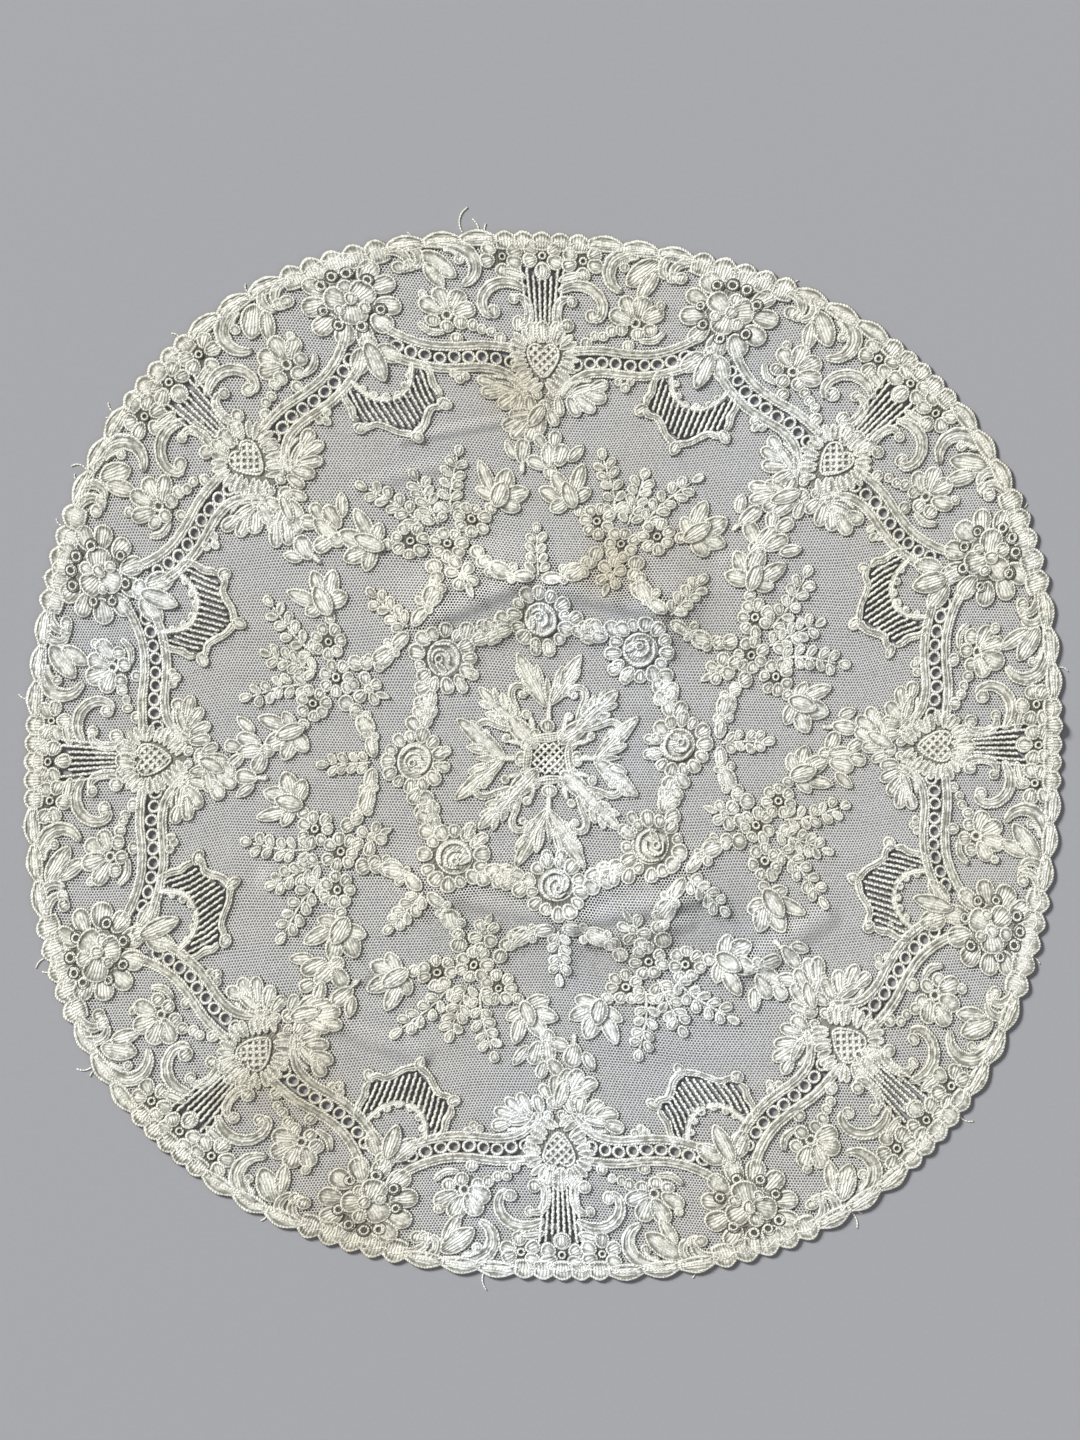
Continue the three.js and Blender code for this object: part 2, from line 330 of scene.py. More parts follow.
# The vase, and flowerets with ring eyes over it
EYE = 1.4
EYE_HOLE = 0.6
# The hollow round an eye is a low disc painted dark as deep shade
EYE_HOLLOW = 0.5
EYE_HOLLOW_RISE = 0.1
EYE_HOLLOW_PAINTED_SHADE = -0.5
EYE_RISE = 0.35
VASE_EYES = [(0.0, 162.0), (12.8, 161.0), (-12.8, 161.0)]
FLOWERET_REACH = 4.4
FLOWERET_AIMS = (62, 112, 180, 248, 298)
FLOWERET_PETAL = (4.9, 4.6)
VASE_MIDDLE = [
    ball(0, 157.2, 5.2, 5.0),
    petal(0, 137.4, 6.6, 4.6),
    *paired(petal(3.6, 137.2, 6.4, 4.0, 14)),
]
VASE_SIDE = [
    leaf(9.2, 155.6, 8, 3.4, 78),
    Band((2.2, 3.4, 3.8, 3.6, 3.2, 2.6), (
        (5.0, 150.6), (9.6, 152.6), (14.4, 152.2), (18.0, 149.2), (19.2, 145.2), (17.9, 141.9),
        (15.8, 141.6))),
    ball(15.5, 142.9, 4.2, 4.2),
    Band((2.0, 3.0, 3.2, 2.8), (
        (9.8, 148.0), (6.6, 148.0), (4.8, 145.6), (4.4, 142.0), (5.2, 139.2), (7.4, 138.2))),
    ball(7.7, 139.6, 4.2, 4.2),
    ball(9.6, 147.6, 3.6, 3.4),
]
VASE_THREADS = 8
VASE_THREAD = 1.15
VASE_THREAD_GAP = 1.35
VASE_FLARE = 2.0
VASE_MOUTH = 158.0
VASE_MIDDLE_MOUTH = 155.6
VASE_MIDDLE_THREADS = 2
VASE_FOOT = 139.6
VASE_FOOT_CURVE = 1.2
VASE_FOOT_POWER = 1.6
VASE_HEIGHT = 18.6
VASE_OPENING = ((-7.8, 158.5), (-5.2, 140.0), (5.2, 140.0), (7.8, 158.5))

# The heart, its shield and what hangs from it
HEART_SIDE = ((0, 131.8), (2.3, 133.2), (4.5, 132.0), (4.8, 129.4), (3.2, 125.6), (0, 122.4))
HEART_STEP = 1.0
HEART_CORD = 1.1
HEART_CORD_STEP = 0.9
HEART_LATTICE_GAP = 1.95
HEART_LATTICE_THREAD = 1.45
SHIELD_ROUTE = (
    (0.6, 136.2), (5.2, 135.6), (8.2, 132.4), (8.5, 128.5), (6.7, 123.8), (3.4, 119.6), (1.4, 117.4))
SHIELD_GAP = 2.0
SHIELD_FLUTE = (5.2, 2.5)
# The shield is a low ground painted darker, as shade round the heart
SHIELD_GROUND = 0.12
SHIELD_PAINTED_SHADE = 0.15
SHIELD_SIDE = [
    ball(2.3, 116.8, 3.4, 3.2),
]
PALMETTE = [
    Band((1.6,), ((5.2, 116.2), (7.4, 120.0), (11.0, 121.4), (15.8, 121.6))),
    Ring(7.8, 117.9, 2.1, 0.8),
    petal(17.6, 119.6, 6.0, 4.2, 75),
    petal(15.8, 116.4, 7.6, 4.4, 105),
    petal(12.4, 114.3, 7.6, 4.4, 130),
    petal(8.6, 113.2, 7.0, 4.2, 158),
    petal(4.8, 113.2, 6.0, 4.0, 182),
    leaf(12.2, 118.3, 9.0, 3.6, 75),
]
HEART_LEAVES = [
    petal(1.8, 109.6, 5.6, 3.6, 165),
    petal(-2.0, 107.4, 8.0, 4.2, 196),
    petal(-5.2, 105.2, 8.0, 4.6, 206),
    petal(-8.6, 104.9, 8.0, 4.6, 216),
    petal(-11.4, 106.6, 7.6, 4.4, 236),
    petal(-8.0, 109.8, 8.0, 4.0, 252),
    leaf(-3.6, 109.4, 9.0, 4.4, 215, HIGH_RISE),
    ball(0.0, 113.0, 4.4, 4.6),
]
HEART_SPRIG = [
    leaf(-12.6, 98.2, 6.2, 3.6, -32),
    petal(-8.2, 97.4, 7.6, 5.0, 8),
    Band((1.6, 2.0), ((-8.2, 94.6), (-8.4, 90.4))),
    petal(2.0, 102.4, 5.6, 4.2, 12),
    petal(-2.0, 101.2, 5.8, 4.2, -38),
    petal(4.1, 97.2, 7.6, 5.0, 18),
    leaf(8.9, 98.0, 7.0, 4.0, 42),
    petal(-3.2, 94.0, 7.2, 4.8, -70),
    leaf(0.4, 96.4, 8.4, 5.0, -4),
    ball(0.4, 91.6, 5.0, 4.4),
]

# The band of beads between two rails, from the heart to below the big flower
BEAD_ROUTE = ((10.4, 126.8), (19.0, 127.5), (27.0, 126.5), (34.0, 126.1), (41.0, 127.2), (48.0, 129.4))
BEAD_GAP = 4.35
BEAD = 2.25
BEAD_HOLE = 1.2
BEAD_RISE = 0.8 * RISE
BEAD_OPENING = 2.9
RAILS = [
    Band((3.0,), ((8.8, 131.2), (14.0, 131.6), (20.0, 131.4), (27.0, 130.2), (34.0, 129.7), (40.0, 130.6),
                  (46.0, 132.8), (50.6, 135.6))),
    Band((3.0,), ((49.0, 125.9), (44.0, 124.4), (39.0, 123.2), (32.0, 122.6), (26.0, 123.2), (19.0, 124.2),
                  (13.0, 123.4), (8.6, 120.4), (5.0, 116.2))),
]
RAIL_BUDS = [
    ball(13.8, 133.8, 3.8, 3.8),
    ball(27.0, 132.8, 3.8, 3.8),
    ball(24.2, 121.0, 3.0, 2.8),
    ball(26.0, 119.6, 3.2, 3.0),
    ball(27.8, 121.0, 3.0, 2.8),
]

# The blossom and the scrolled leaves between a vase and a big flower
BLOSSOM_PLACE = (29.8, 140.8)
BLOSSOM_GROUND = 5.2
BLOSSOM = [
    petal(25.0, 142.0, 7.4, 5.4, -62),
    petal(27.2, 145.4, 7.4, 5.6, -24),
    petal(31.6, 145.4, 7.6, 5.6, 20),
    petal(34.8, 142.4, 7.0, 5.2, 62),
    ball(37.4, 145.8, 3.2, 3.2),
    Ring(29.7, 140.3, 1.9, 0.75),
    ball(25.6, 138.4, 4.2, 4.2),
    ball(30.2, 136.6, 4.2, 4.2),
    ball(34.2, 138.2, 4.2, 4.4),
    Band((1.8, 2.6, 2.0), ((30.6, 134.4), (35.2, 134.2), (38.6, 136.8))),
    ball(22.2, 138.0, 3.8, 3.6),
    ball(19.3, 136.6, 3.4, 3.4),
    ball(16.7, 136.2, 3.2, 3.2),
]
EDGE_LEAVES = [
    Band((3.0, 4.0, 4.6, 4.4, 3.6, 2.2), (
        (33.0, 163.6), (27.4, 163.4), (23.0, 161.2), (21.2, 157.2), (22.2, 153.2), (25.2, 150.4))),
    Band((2.2, 2.0, 1.6), ((31.0, 161.6), (28.0, 161.2), (26.3, 159.4))),
    ball(26.2, 158.8, 3.2, 3.2),
    leaf(32.0, 156.8, 11.5, 6.6, 238),
    leaf(33.7, 152.6, 9.6, 5.0, 213),
    Band((2.6, 3.2, 3.0, 2.4), ((42.0, 162.0), (38.9, 160.0), (38.2, 156.8), (39.8, 154.4))),
    ball(41.4, 155.0, 3.8, 3.8),
]

# The big flower on the axis between two vases
FLOWER_Y = 153.8
FLOWER_HEART = 7.4
# The flower's heart is a lobed ground painted half in shade
FLOWER_HEART_PAINTED_SHADE = 0.5
FLOWER_LOBES = 9
FLOWER_PETALS = 11
FLOWER_PETAL = (7.6, 5.9)
FLOWER_REACH = 11.2
FLOWER_GROUND = FLOWER_REACH + 0.8
FLOWER_MIDDLE = [
    petal(-4.0, 155.4, 7.4, 7.0, -58, HIGH_RISE),
    petal(4.2, 155.0, 7.4, 7.2, 66, HIGH_RISE),
    petal(-0.4, 149.4, 7.2, 7.4, 186, HIGH_RISE),
    ball(0.2, 158.4, 4.4, 4.6, 0, HIGH_RISE),
    ball(-3.8, 151.4, 3.6, 3.4, 0, HIGH_RISE + 0.2),
    ball(3.6, 150.8, 3.8, 3.6, 0, HIGH_RISE + 0.2),
    petal(0.6, 154.0, 4.4, 4.0, 20, HIGH_RISE + 0.3),
]
FLOWER_EYES = [
    Ring(-6.6, 160.8, 1.7, 0.8),
    Ring(-2.3, 162.6, 1.7, 0.8),
    Ring(2.4, 162.2, 1.7, 0.8),
    Ring(7.4, 158.4, 1.7, 0.8),
    Ring(-9.0, 153.0, 1.5, 0.7),
    Ring(-6.4, 147.4, 1.6, 0.8),
    Ring(7.6, 148.4, 1.6, 0.8),
    Ring(0.2, 144.8, 1.7, 0.8),
]
FLOWER_SCROLL = [
    Band((2.4, 3.0, 3.2, 2.8, 2.4), (
        (13.6, 165.6), (18.4, 165.0), (21.2, 162.2), (20.9, 159.0), (18.6, 158.0))),
    ball(18.2, 159.6, 4.0, 4.2),
]

# The striped canopy below it
CANOPY_BUD = [
    *paired(leaf(4.6, 134.6, 9.0, 6.0, 146)),
    leaf(-0.4, 133.0, 12.0, 5.6, 180, HIGH_RISE),
    ball(0.0, 139.6, 5.0, 6.0),
]
CANOPY_SIDE = [
    Band((2.2,), ((0.0, 120.4), (3.4, 121.0), (6.6, 123.4), (8.6, 126.8), (9.8, 129.8))),
    Band((2.8, 2.2, 2.6, 2.2), ((12.8, 128.8), (13.8, 125.4), (13.2, 121.4), (13.8, 119.0), (13.2, 116.8))),
    Band((2.6, 2.2, 2.4, 2.2, 2.8), (
        (13.6, 115.6), (11.4, 114.0), (9.0, 114.2), (6.6, 112.4), (4.0, 109.6), (0.0, 107.6))),
    ball(13.8, 114.7, 4.4, 3.8, 140),
    ball(2.0, 121.4, 2.4, 2.6),
    ball(5.0, 123.2, 2.4, 2.6),
    ball(7.4, 126.0, 2.4, 2.6),
]
CANOPY_TIP = leaf(0.0, 106.4, 4.6, 3.6, 180)
CANOPY_THREADS = 13
CANOPY_THREAD = 1.1
CANOPY_THREAD_GAP = 1.92
CANOPY_THREAD_FAN = 0.93
CANOPY_TOP = 120.2
CANOPY_ARCH = 0.055
CANOPY_FOOT = 109.6
CANOPY_SLOPE = 0.56
CANOPY_OPENING = ((-13.0, 129.0), (-13.0, 116.4), (0.0, 108.8), (13.0, 116.4), (13.0, 129.0),
                  (6.2, 123.0), (0.0, 120.6), (-6.2, 123.0))

# One flower spray about its own axis
SPRAY_EYES = [
    *paired(Ring(10.0, 76.8, EYE, EYE_HOLE, HIGH_RISE)),
    Ring(0.0, 71.6, EYE, EYE_HOLE, HIGH_RISE),
]
SPRAY_EYE_PETALS = 7
SPRAY_EYE_REACH = 4.0
SPRAY_EYE_PETAL = (3.9, 3.7)
SPRAY_SIDE = [
    leaf(20.4, 87.6, 9.4, 4.8, 4),
    leaf(25.4, 84.4, 8.8, 5.8, 42),
    leaf(26.8, 79.8, 8.0, 5.6, 88),
    leaf(23.4, 77.4, 7.4, 5.4, 140),
    leaf(17.8, 83.2, 6.6, 4.4, -38),
    leaf(21.6, 81.6, 9.0, 5.4, 40, 1.2),
    ball(17.0, 78.2, 3.8, 3.6),
    ball(6.8, 66.8, 4.8, 4.8),
    ball(8.6, 62.8, 3.6, 4.0),
    petal(11.4, 59.0, 7.2, 5.2, 145),
    Band((1.8, 2.4), ((12.6, 57.2), (15.4, 54.4), (19.0, 53.0))),
    petal(2.5, 62.8, 4.4, 3.8, 62),
    petal(2.1, 58.6, 4.2, 3.4, 140),
]
SPRAY_TAIL = [
    ball(0.0, 66.0, 4.4, 4.2),
    ball(0.0, 60.8, 3.2, 3.0),
    blade(0.0, 55.8, 4.6, 2.4, 180),
]

# Fronds: how their leaves sit on the stem, and then each stem's route and number of leaf pairs
FROND_LEAF = (4.0, 3.0)
FROND_REACH = 2.5
FROND_TIP = 2.2
FROND_SET = 0.5
FROND_START = 0.04
FROND_LEAN = 52
FROND_STEM = (1.3, 0.9)
FROND_STEP = 0.5
FRONDS = [
    (((0.0, 78.0), (0.0, 87.0), (0.0, 93.6)), 5),
    (((4.8, 80.0), (8.2, 87.6), (14.6, 96.6)), 5),
    (((-4.8, 80.0), (-8.2, 87.6), (-14.6, 96.6)), 5),
]

# The fern sprig, the rose and the leaves that tie the wreath together, on the axis between two sprays
FERN = (((0.0, 57.4), (0.0, 64.0), (0.2, 71.0)), 4)
FERN_LEAN = 46
GARLAND_SIDE = [
    leaf(4.6, 57.0, 6.6, 4.0, 82),
    ball(8.0, 59.8, 3.2, 3.0),
    ball(8.4, 55.8, 2.8, 2.8),
    petal(11.6, 58.4, 7.6, 5.6, 76),
    ball(15.2, 57.8, 3.2, 3.2),
    ball(17.2, 61.2, 4.2, 4.2),
]
ROSE_Y = 43.4
ROSE_BUD = 5.2
ROSE_BUD_Y = ROSE_Y - 0.6
ROSE_BUD_RISE = 0.5
ROSE_EYE = Ring(-1.0, 44.0, 1.5, 0.55, 1.2)
ROSE_FOLDS = [
    Band((0.8, 1.4, 0.8), ((-3.1, 45.0), (-0.6, 46.6), (1.9, 45.0), (1.9, 42.2), (-0.1, 40.7)), 1.15),
    Band((0.9, 1.9, 0.9), (
        (1.6, 47.6), (4.4, 44.6), (4.1, 40.6), (0.8, 38.4), (-3.0, 39.4), (-4.5, 41.6)), 1.15),
    petal(-3.0, 42.0, 4.2, 2.4, 190, 1.0),
]
ROSE_RUFFLE = 13
ROSE_RUFFLE_REACH = 8.3
ROSE_RUFFLE_SWAY = 0.2
ROSE_GROUND = ROSE_RUFFLE_REACH - 0.6
ROSE_PETAL = (4.6, 4.2)
ROSE_PETAL_SHARES = (1.12, 0.92, 1.04, 0.84)
ROSE_SIDE = [
    petal(2.2, 33.6, 4.6, 3.6, 160),
    petal(11.4, 43.0, 5.4, 4.4, 60),
    petal(12.0, 39.0, 5.4, 4.4, 112),
    petal(15.4, 40.6, 5.0, 4.2, 64),
    petal(15.2, 36.8, 5.0, 4.0, 128),
    ball(13.6, 40.0, 4.2, 4.2),
]

# The star, its middle a little below that of the mat; shares in x and y shorten and widen its level arms
STAR_MIDDLE = (0.25, -1.9)
STAR_ARMS = 4
STAR_SHARES = ((1.0, 1.0), (0.86, 1.1), (1.0, 1.0), (0.86, 1.1))
STAR_LEAVES = [
    *paired(leaf(6.2, 22.4, 6.0, 2.8, 42), leaf(8.6, 27.0, 6.0, 3.0, 38)),
    *paired(leaf(3.2, 26.2, 8.0, 3.4, 12), leaf(5.5, 25.2, 18.6, 5.4, 31)),
    leaf(0.0, 22.0, 10.0, 2.4, 0),
    Band((2.2, 1.8, 2.2), ((0.0, 12.0), (0.0, 15.0), (0.0, 18.4))),
    ball(0.0, 10.6, 4.2, 4.4),
]
STAR_ARM_MIDDLE = [
    leaf(0.0, 11.6, 11.0, 5.6, 0),
    leaf(0.0, 18.6, 13.0, 4.4, 0),
    leaf(0.0, 26.2, 8.8, 3.8, 0),
]
STAR_ARM_SIDE = [
    leaf(2.0, 25.4, 4.8, 2.6, 26),
    leaf(2.5, 22.0, 5.0, 2.8, 34),
    leaf(2.3, 18.4, 4.6, 2.6, 30),
    Band((1.8, 2.0, 2.2, 2.4, 2.2, 2.0), (
        (1.9, 14.4), (4.0, 18.4), (5.6, 22.0), (8.2, 23.4), (10.2, 22.0), (10.2, 19.9), (8.7, 19.2))),
    ball(8.2, 20.0, 2.6, 2.6),
    ball(5.0, 14.2, 3.0, 3.0),
    Band((2.2, 1.7), ((2.4, 9.2), (4.0, 11.2), (5.2, 13.2))),
]
STAR_SQUARE = 10.4
STAR_CORNERS = STAR_SQUARE / 2 * np.array([[-1, -1], [1, -1], [1, 1], [-1, 1]])
STAR_SQUARE_GAP = 1.75
STAR_SQUARE_THREAD = 1.0
STAR_FRAME = [
    leaf(0.0, 6.8, 3.0, 11.0, 0),
    *paired(petal(4.4, 7.4, 3.4, 3.6, 38)),
]

# Frayed thread ends at the rim
FRAYED_ENDS = [Frayed(*row) for row in (
    (98, 12, 80), (97, 7, -60), (96, 5, 40), (104, 4, -50), (141, 6, 60), (142, 4, -70), (148, 7, -80),
    (149, 5, 90), (154, 5, 70), (160, 4, -60), (173, 6, 60), (187, 4, 80), (201, 7, -70), (202, 5, 60),
    (213, 8, 80), (214, 5, -50), (238, 4, 60), (262, 8, -60), (284, 5, 80), (302, 7, 60), (303, 4, -80),
    (318, 7, -70), (8, 6, 80), (336, 5, 70), (26, 4, -60), (62, 4, 70), (122, 4, 60), (131, 5, -60),
)]
FRAYED_RADIUS = EDGE_NOTCH_RADIUS - 1.0
FRAYED_LEAN = 0.4
FRAYED_STEPS = 4
FRAYED_STEP = 0.8
FRAYED_WIDTH = 0.4
FRAYED_LEVEL = -0.28

# The net: hexagon meshes in level rows, and the darned ground below the stitching
MESH_PITCH = 0.95
NET_THREAD = 0.29
NET_WAVE = 0.06
NET_UNEVEN = 0.035
NET_DRIFT = 0.16
NET_DRIFT_LENGTH = 4.3
NET_DRIFT_START = 0.7
NET_RIPPLE = 0.1
NET_RIPPLE_LENGTH = 1.9
OPENING_STEP = 1.5
DARNED_PITCH = 2.1
DARNED_DROP = 0.16
DARNED_MARGIN = 1
RAY_START = 9

# The flat map of a piece is wider than the mat by this share, and a lap of thread ends where it jumps back
MAP_SHARE = 1.12
LAP_JUMP = 0.6

# The camera, in metres but for its sensor: its height, the height of what it sees and its place
SENSOR = 36
CAMERA_HEIGHT = 0.9
FRAME_HEIGHT = 0.4566
CAMERA_PLACE = (-0.0009, 0.0111)

# The light of the studio and its floor, in metres
LAMPS = [
    Lamp("key", (-2.6, 2.1, 2.1), 17, 5.9),
    Lamp("fill", (2.3, -1.6, 2.8), 50, 0.55),
]
SKY_COLOUR = (0.9, 0.93, 1.0, 1)
SKY_STRENGTH = 0.28
FLOOR_SIZE = 40
FLOOR_COLOURS = ((0.265, 0.265, 0.275, 1), (0.285, 0.285, 0.295, 1))

# Thread colours, each with a painted shade colour, the painted shadow colour of hollows and low grounds,
# and the grain of noise in each material, in waves to the metre
EMBROIDERY = Cotton(
    ivory=(0.80, 0.78, 0.67, 1), cool_white=(0.90, 0.93, 0.91, 1), stained=(0.60, 0.55, 0.42, 1),
    shaded=(0.10, 0.095, 0.07, 1))
NET_COTTON = Cotton(
    ivory=(0.61, 0.60, 0.55, 1), cool_white=(0.59, 0.61, 0.62, 1), stained=(0.53, 0.47, 0.37, 1),
    shaded=(0.36, 0.345, 0.32, 1))
PAINTED_SHADOW_COLOUR = (0.08, 0.075, 0.06, 1)
FIBRE_GRAIN = 1500.0
TUFT_GRAIN = 620.0
SHADE_NOISE_GRAIN = 240.0
WEAR_GRAIN = 60.0
COOL_DRIFT_GRAIN = 26.0
NET_GRAIN = 2600.0
FLOOR_GRAIN = 900.0

# Thread lines in the embroidery: how far a cord reaches inwards, its twist, tufts and relief
CORD_REACH = (0.55, 1.0)
TWIST_PITCH = 1.0
TWIST_SLANT = 0.7
TUFT_SHIFT = 6.0
RIB_RELIEF = 0.38
TWIST_RELIEF = 0.35
FIBRE_RELIEF = 1.0
TUFT_RELIEF = 0.7

# Stained places, and places of a lighter, cooler white: each is full within a core and fades out over its
# radius
PATCH_LEVEL = 0.002
PATCH_CORE = 0.1
STAINS = [Patch(*row) for row in (
    (20, 60, 19, 0.9), (44, 62, 18, 0.5), (-9, 116, 28, 0.75), (-82, -108, 44, 0.75), (-64, -152, 30, 0.65),
    (-36, -36, 22, 0.35), (120, -108, 28, 0.35), (-62, 104, 50, 0.3),
)]
COOL_PLACES = [Patch(*row) for row in (
    (12, -112, 66, 0.9), (26, 10, 42, 0.8), (4, 46, 14, 1.0), (28, 38, 17, 1.0), (76, 108, 56, 0.6),
    (-140, 44, 54, 0.6), (60, -70, 50, 0.7), (12, -46, 40, 0.6), (-4, -152, 48, 0.8), (84, 24, 44, 0.5),
)]


def ring_points(count):
    return np.arange(count) * (2 * math.pi / count)


def polar(radius, angle):
    return np.column_stack([radius * np.cos(angle), radius * np.sin(angle)])


def aimed(aim):
    """The unit vector that points clockwise from outwards."""
    return np.array([math.sin(math.radians(aim)), math.cos(math.radians(aim))])


def aim_at(line, place):
    """The way that a line runs on from one of its points, in degrees clockwise from outwards."""
    return math.degrees(math.atan2(*(line[place + 1] - line[place])))


def turned(points, degrees):
    cosine = math.cos(math.radians(degrees))
    sine = math.sin(math.radians(degrees))
    flat = points[:, :2] @ np.array([[cosine, sine], [-sine, cosine]])
    return np.column_stack([flat, points[:, 2:]])


def ridge(fold, x, y):
    run = np.array([fold.x1 - fold.x0, fold.y1 - fold.y0])
    along = (((x - fold.x0) * run[0] + (y - fold.y0) * run[1]) / (run @ run)).clip(0, 1)
    away = np.hypot(x - fold.x0 - along * run[0], y - fold.y0 - along * run[1])
    return fold.height * np.cos(0.5 * math.pi * (away / fold.half_width).clip(0, 1)) ** 2


def fold_height(x, y):
    """How high the folds and creases lift the cloth at places on the mat."""
    folds = np.max([ridge(fold, x, y) for fold in FOLDS], axis=0)
    return folds + np.sum([ridge(fold, x, y) for fold in CREASES], axis=0)


def spread(points):
    """Flat pattern places taken to where the mat lies out of round."""
    angle = np.arctan2(points[:, 1], points[:, 0])
    radius = np.hypot(points[:, 0], points[:, 1])
    slip = np.interp(np.degrees(angle), list(SLIPS), list(SLIPS.values()), period=360)
    angle += np.radians(slip) * ((radius - SLIP_FROM) / SLIP_RAMP).clip(0, 1)
    for row in OUT_OF_ROUND:
        radius = radius * (1 + row.share * np.cos(row.lobes * (angle - math.radians(row.peak))))
    return polar(radius, angle)


def scallop_line(inwards=0.0, share=1.0):
    """The edge's scalloped line, or one that runs inside it with a share of its swell."""
    angles, radii = [], []
    walked = EDGE_START
    for row in EDGE_SCALLOPS * REPEATS:
        steps = np.arange(row.number * SCALLOP_STEPS) / SCALLOP_STEPS
        angles.append((walked + steps * row.width) / EDGE_REPEAT * REPEAT_ANGLE)
        radii.append(EDGE_NOTCH_RADIUS - inwards + share * row.swell * np.abs(np.sin(math.pi * steps)))
        walked += row.number * row.width
    return polar(np.concatenate(radii), np.radians(90 - np.concatenate(angles)))


rim = spread(scallop_line())
MIDDLE = (rim.min(axis=0) + rim.max(axis=0)) / 2


def laid(points):
    """Flat pattern millimetres taken to metres on the floor."""
    flat = spread(points)
    height = NET_LEVEL + points[:, 2] + fold_height(flat[:, 0], flat[:, 1])
    return np.column_stack([flat - MIDDLE, height]) * MM


def smooth_route(route, step):
    """A smooth line through the points of a route in even steps, and how far along it each step is."""
    route = np.array(route, float)
    ends = np.vstack([2 * route[0] - route[1], route, 2 * route[-1] - route[-2]])
    share = np.linspace(0, 1, ROUTE_STEPS, endpoint=False)[:, None]
    line = []
    for a, b, c, d in zip(ends[:-3], ends[1:-2], ends[2:-1], ends[3:]):
        line.append(0.5 * (2 * b + (c - a) * share + (2 * a - 5 * b + 4 * c - d) * share**2
                           + (3 * b - a - 3 * c + d) * share**3))
    line = np.vstack([*line, route[-1:]])
    run = np.concatenate([[0], np.cumsum(np.linalg.norm(np.diff(line, axis=0), axis=1))])
    count = max(2, round(run[-1] / step) + 1)
    places = np.linspace(0, run[-1], count)
    return np.column_stack([np.interp(places, run, line[:, i]) for i in range(2)]), places


def sides_of(line):
    """The unit vectors that point to the left of a line."""
    way = np.gradient(line, axis=0)
    way /= np.linalg.norm(way, axis=1)[:, None]
    return np.column_stack([-way[:, 1], way[:, 0]])


def inside(points, outline):
    """Which points lie inside a closed outline."""
    x, y = points[:, 0], points[:, 1]
    found = np.zeros(len(points), bool)
    for (x0, y0), (x1, y1) in zip(outline, np.roll(outline, -1, axis=0)):
        if y0 != y1:
            found ^= ((y0 > y) != (y1 > y)) & (x < (x1 - x0) * (y - y0) / (y1 - y0) + x0)
    return found


def zipped(count):
    """Faces that close a ring of points across, from its first point to the opposite one."""
    half = count // 2
    faces = [(0, 1, count - 1), (half - 1, half, half + 1)]
    faces += [(i, i + 1, count - i - 1, count - i) for i in range(1, half - 1)]
    return faces


def tube(rings, count, closed=False):
    """Faces between rings of points that follow each other, and back to the first ring if closed."""
    faces = []
    for k in range(rings if closed else rings - 1):
        low, high = k * count, (k + 1) % rings * count
        for i in range(count):
            j = (i + 1) % count
            faces.append((low + i, low + j, high + j, high + i))
    return faces


